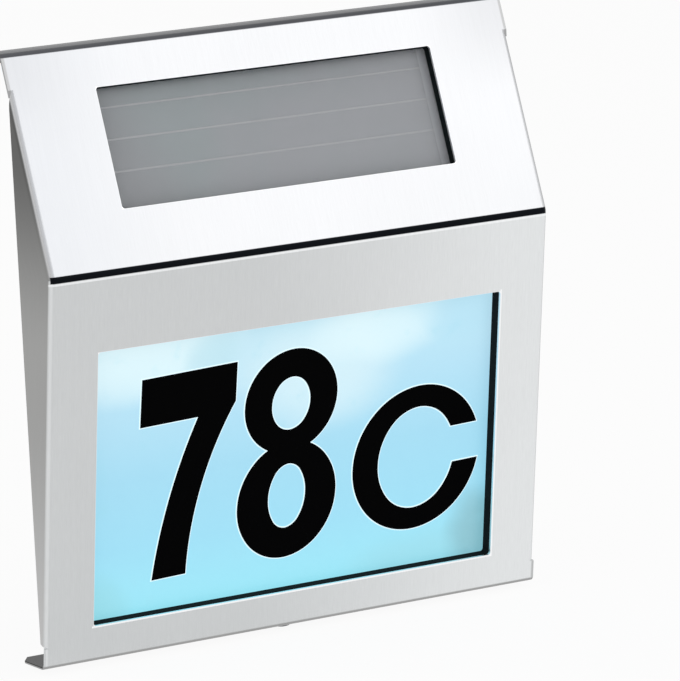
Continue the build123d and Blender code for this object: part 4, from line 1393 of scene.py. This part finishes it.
@dataclass(frozen=True)
class Viewpoint:
    """The photograph's viewing angle, from a fit of the cover's corners."""

    azimuth: float = math.radians(31.02)
    elevation: float = math.radians(10.38)
    roll: float = math.radians(-2.57)
    distance: float = 1.8067
    target: Point = (0.0326, 0.0, -0.0545)
    focal_pixels: float = 5518.0
    shift_pixels: tuple[float, float] = (-0.6, -12.8)
    image_long_side: float = 681.0
    sensor: float = 36.0

    def build(self) -> None:
        """Makes the scene's camera."""
        a, e = self.azimuth, self.elevation
        back = Vector((-math.sin(a) * math.cos(e), -math.cos(a) * math.cos(e), math.sin(e)))
        right = Vector((math.cos(a), -math.sin(a), 0.0))
        up = back.cross(right)
        turned_right = right * math.cos(self.roll) + up * math.sin(self.roll)
        turned_up = up * math.cos(self.roll) - right * math.sin(self.roll)
        data = bpy.data.cameras.new("camera")
        data.sensor_width = self.sensor
        data.lens = self.focal_pixels * self.sensor / self.image_long_side
        data.shift_x = -self.shift_pixels[0] / self.image_long_side
        data.shift_y = self.shift_pixels[1] / self.image_long_side
        data.clip_start, data.clip_end = 0.01, 50.0
        camera = bpy.data.objects.new("camera", data)
        pose = Matrix((turned_right, turned_up, back)).transposed().to_4x4()
        pose.translation = Vector(self.target) + back * self.distance
        camera.matrix_world = pose
        bpy.context.scene.collection.objects.link(camera)
        bpy.context.scene.camera = camera


@dataclass(frozen=True)
class Studio:
    """Pale floor, white surroundings, soft lamps and the camera."""

    floor_tone: Colour = (0.86, 0.86, 0.86)
    floor_white: float = 0.93
    surroundings: float = 0.62
    floor_size: float = 40.0
    aim: Point = (0.0, 0.0, -0.05)
    view: Viewpoint = Viewpoint()
    lamps: tuple[SoftBox, ...] = (
        SoftBox("front_right_softbox", (0.75, -1.15, 0.72), 1.1, 0.8, 1.0),
        SoftBox("left_softbox", (-1.3, -0.7, 0.5), 0.7, 0.9, 0.7),
        SoftBox("top_softbox", (0.0, -0.1, 1.3), 1.0, 0.8, 0.65),
    )

    def build(self, lowest: float) -> None:
        """Sets the stage.

        Args:
            lowest: Height of the object's lowest point, where the floor lies.
        """
        bpy.context.scene.view_settings.view_transform = "Standard"
        self.view.build()
        for lamp in self.lamps:
            lamp.build(Vector(self.aim))
        self._surroundings()
        self._floor(lowest)

    def _surroundings(self) -> None:
        """A white world whose light on the object is softer than its look."""
        world = bpy.data.worlds.new("white_surroundings")
        bpy.context.scene.world = world
        world.use_nodes = True
        nodes = NodeTree(world.node_tree)
        kind = "ShaderNodeBackground"
        soft, white = (nodes.node(kind, {}, {"Color": WHITE, "Strength": strength}).outputs[0]
                       for strength in (self.surroundings, 1.0))
        mixed = nodes.node("ShaderNodeMixShader", {}, {0: nodes.seen(), 1: soft, 2: white})
        nodes.node("ShaderNodeOutputWorld", {}, {0: mixed.outputs[0]})

    def _floor(self, lowest: float) -> None:
        """A pale floor that looks white but keeps a faint shadow."""
        half = self.floor_size / 2
        mesh = bpy.data.meshes.new("floor")
        ends = ((-half, -half), (half, -half), (half, half), (-half, half))
        mesh.from_pydata([(x, y, lowest) for x, y in ends], [], [(0, 1, 2, 3)])
        shader = Shader("pale_floor")
        pale = shader.node("ShaderNodeBsdfDiffuse", {}, {"Color": self.floor_tone}).outputs[0]
        white = shader.node("ShaderNodeEmission", {}, {"Color": WHITE, "Strength": 1.0}).outputs[0]
        share = shader.seen() * self.floor_white
        shader.end(shader.node("ShaderNodeMixShader", {}, {0: share, 1: pale, 2: white}).outputs[0])
        mesh.materials.append(shader.material)
        new_piece("floor", mesh)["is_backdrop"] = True


# --- the sign


def corners(box: tuple[Vector, Vector]) -> list[list[float]]:
    """A box's lowest and highest corner as plain lists."""
    return [list(corner) for corner in box]


def main() -> None:
    """Builds the studio and then each sub-assembly."""
    logging.basicConfig(level=logging.INFO, format="%(message)s")
    cad_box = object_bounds()
    Studio().build(cad_box[0].z)
    finishes = Finishes()
    repeats = RepeatTree("copies_at_points")
    for assembly in (Cover, NumberWindow, SolarWindow, Tray, LightBox, Power, WallMount):
        assembly(finishes, repeats).build()
        log.info("%s is done", assembly.__name__)


if __name__ == "__main__":
    main()
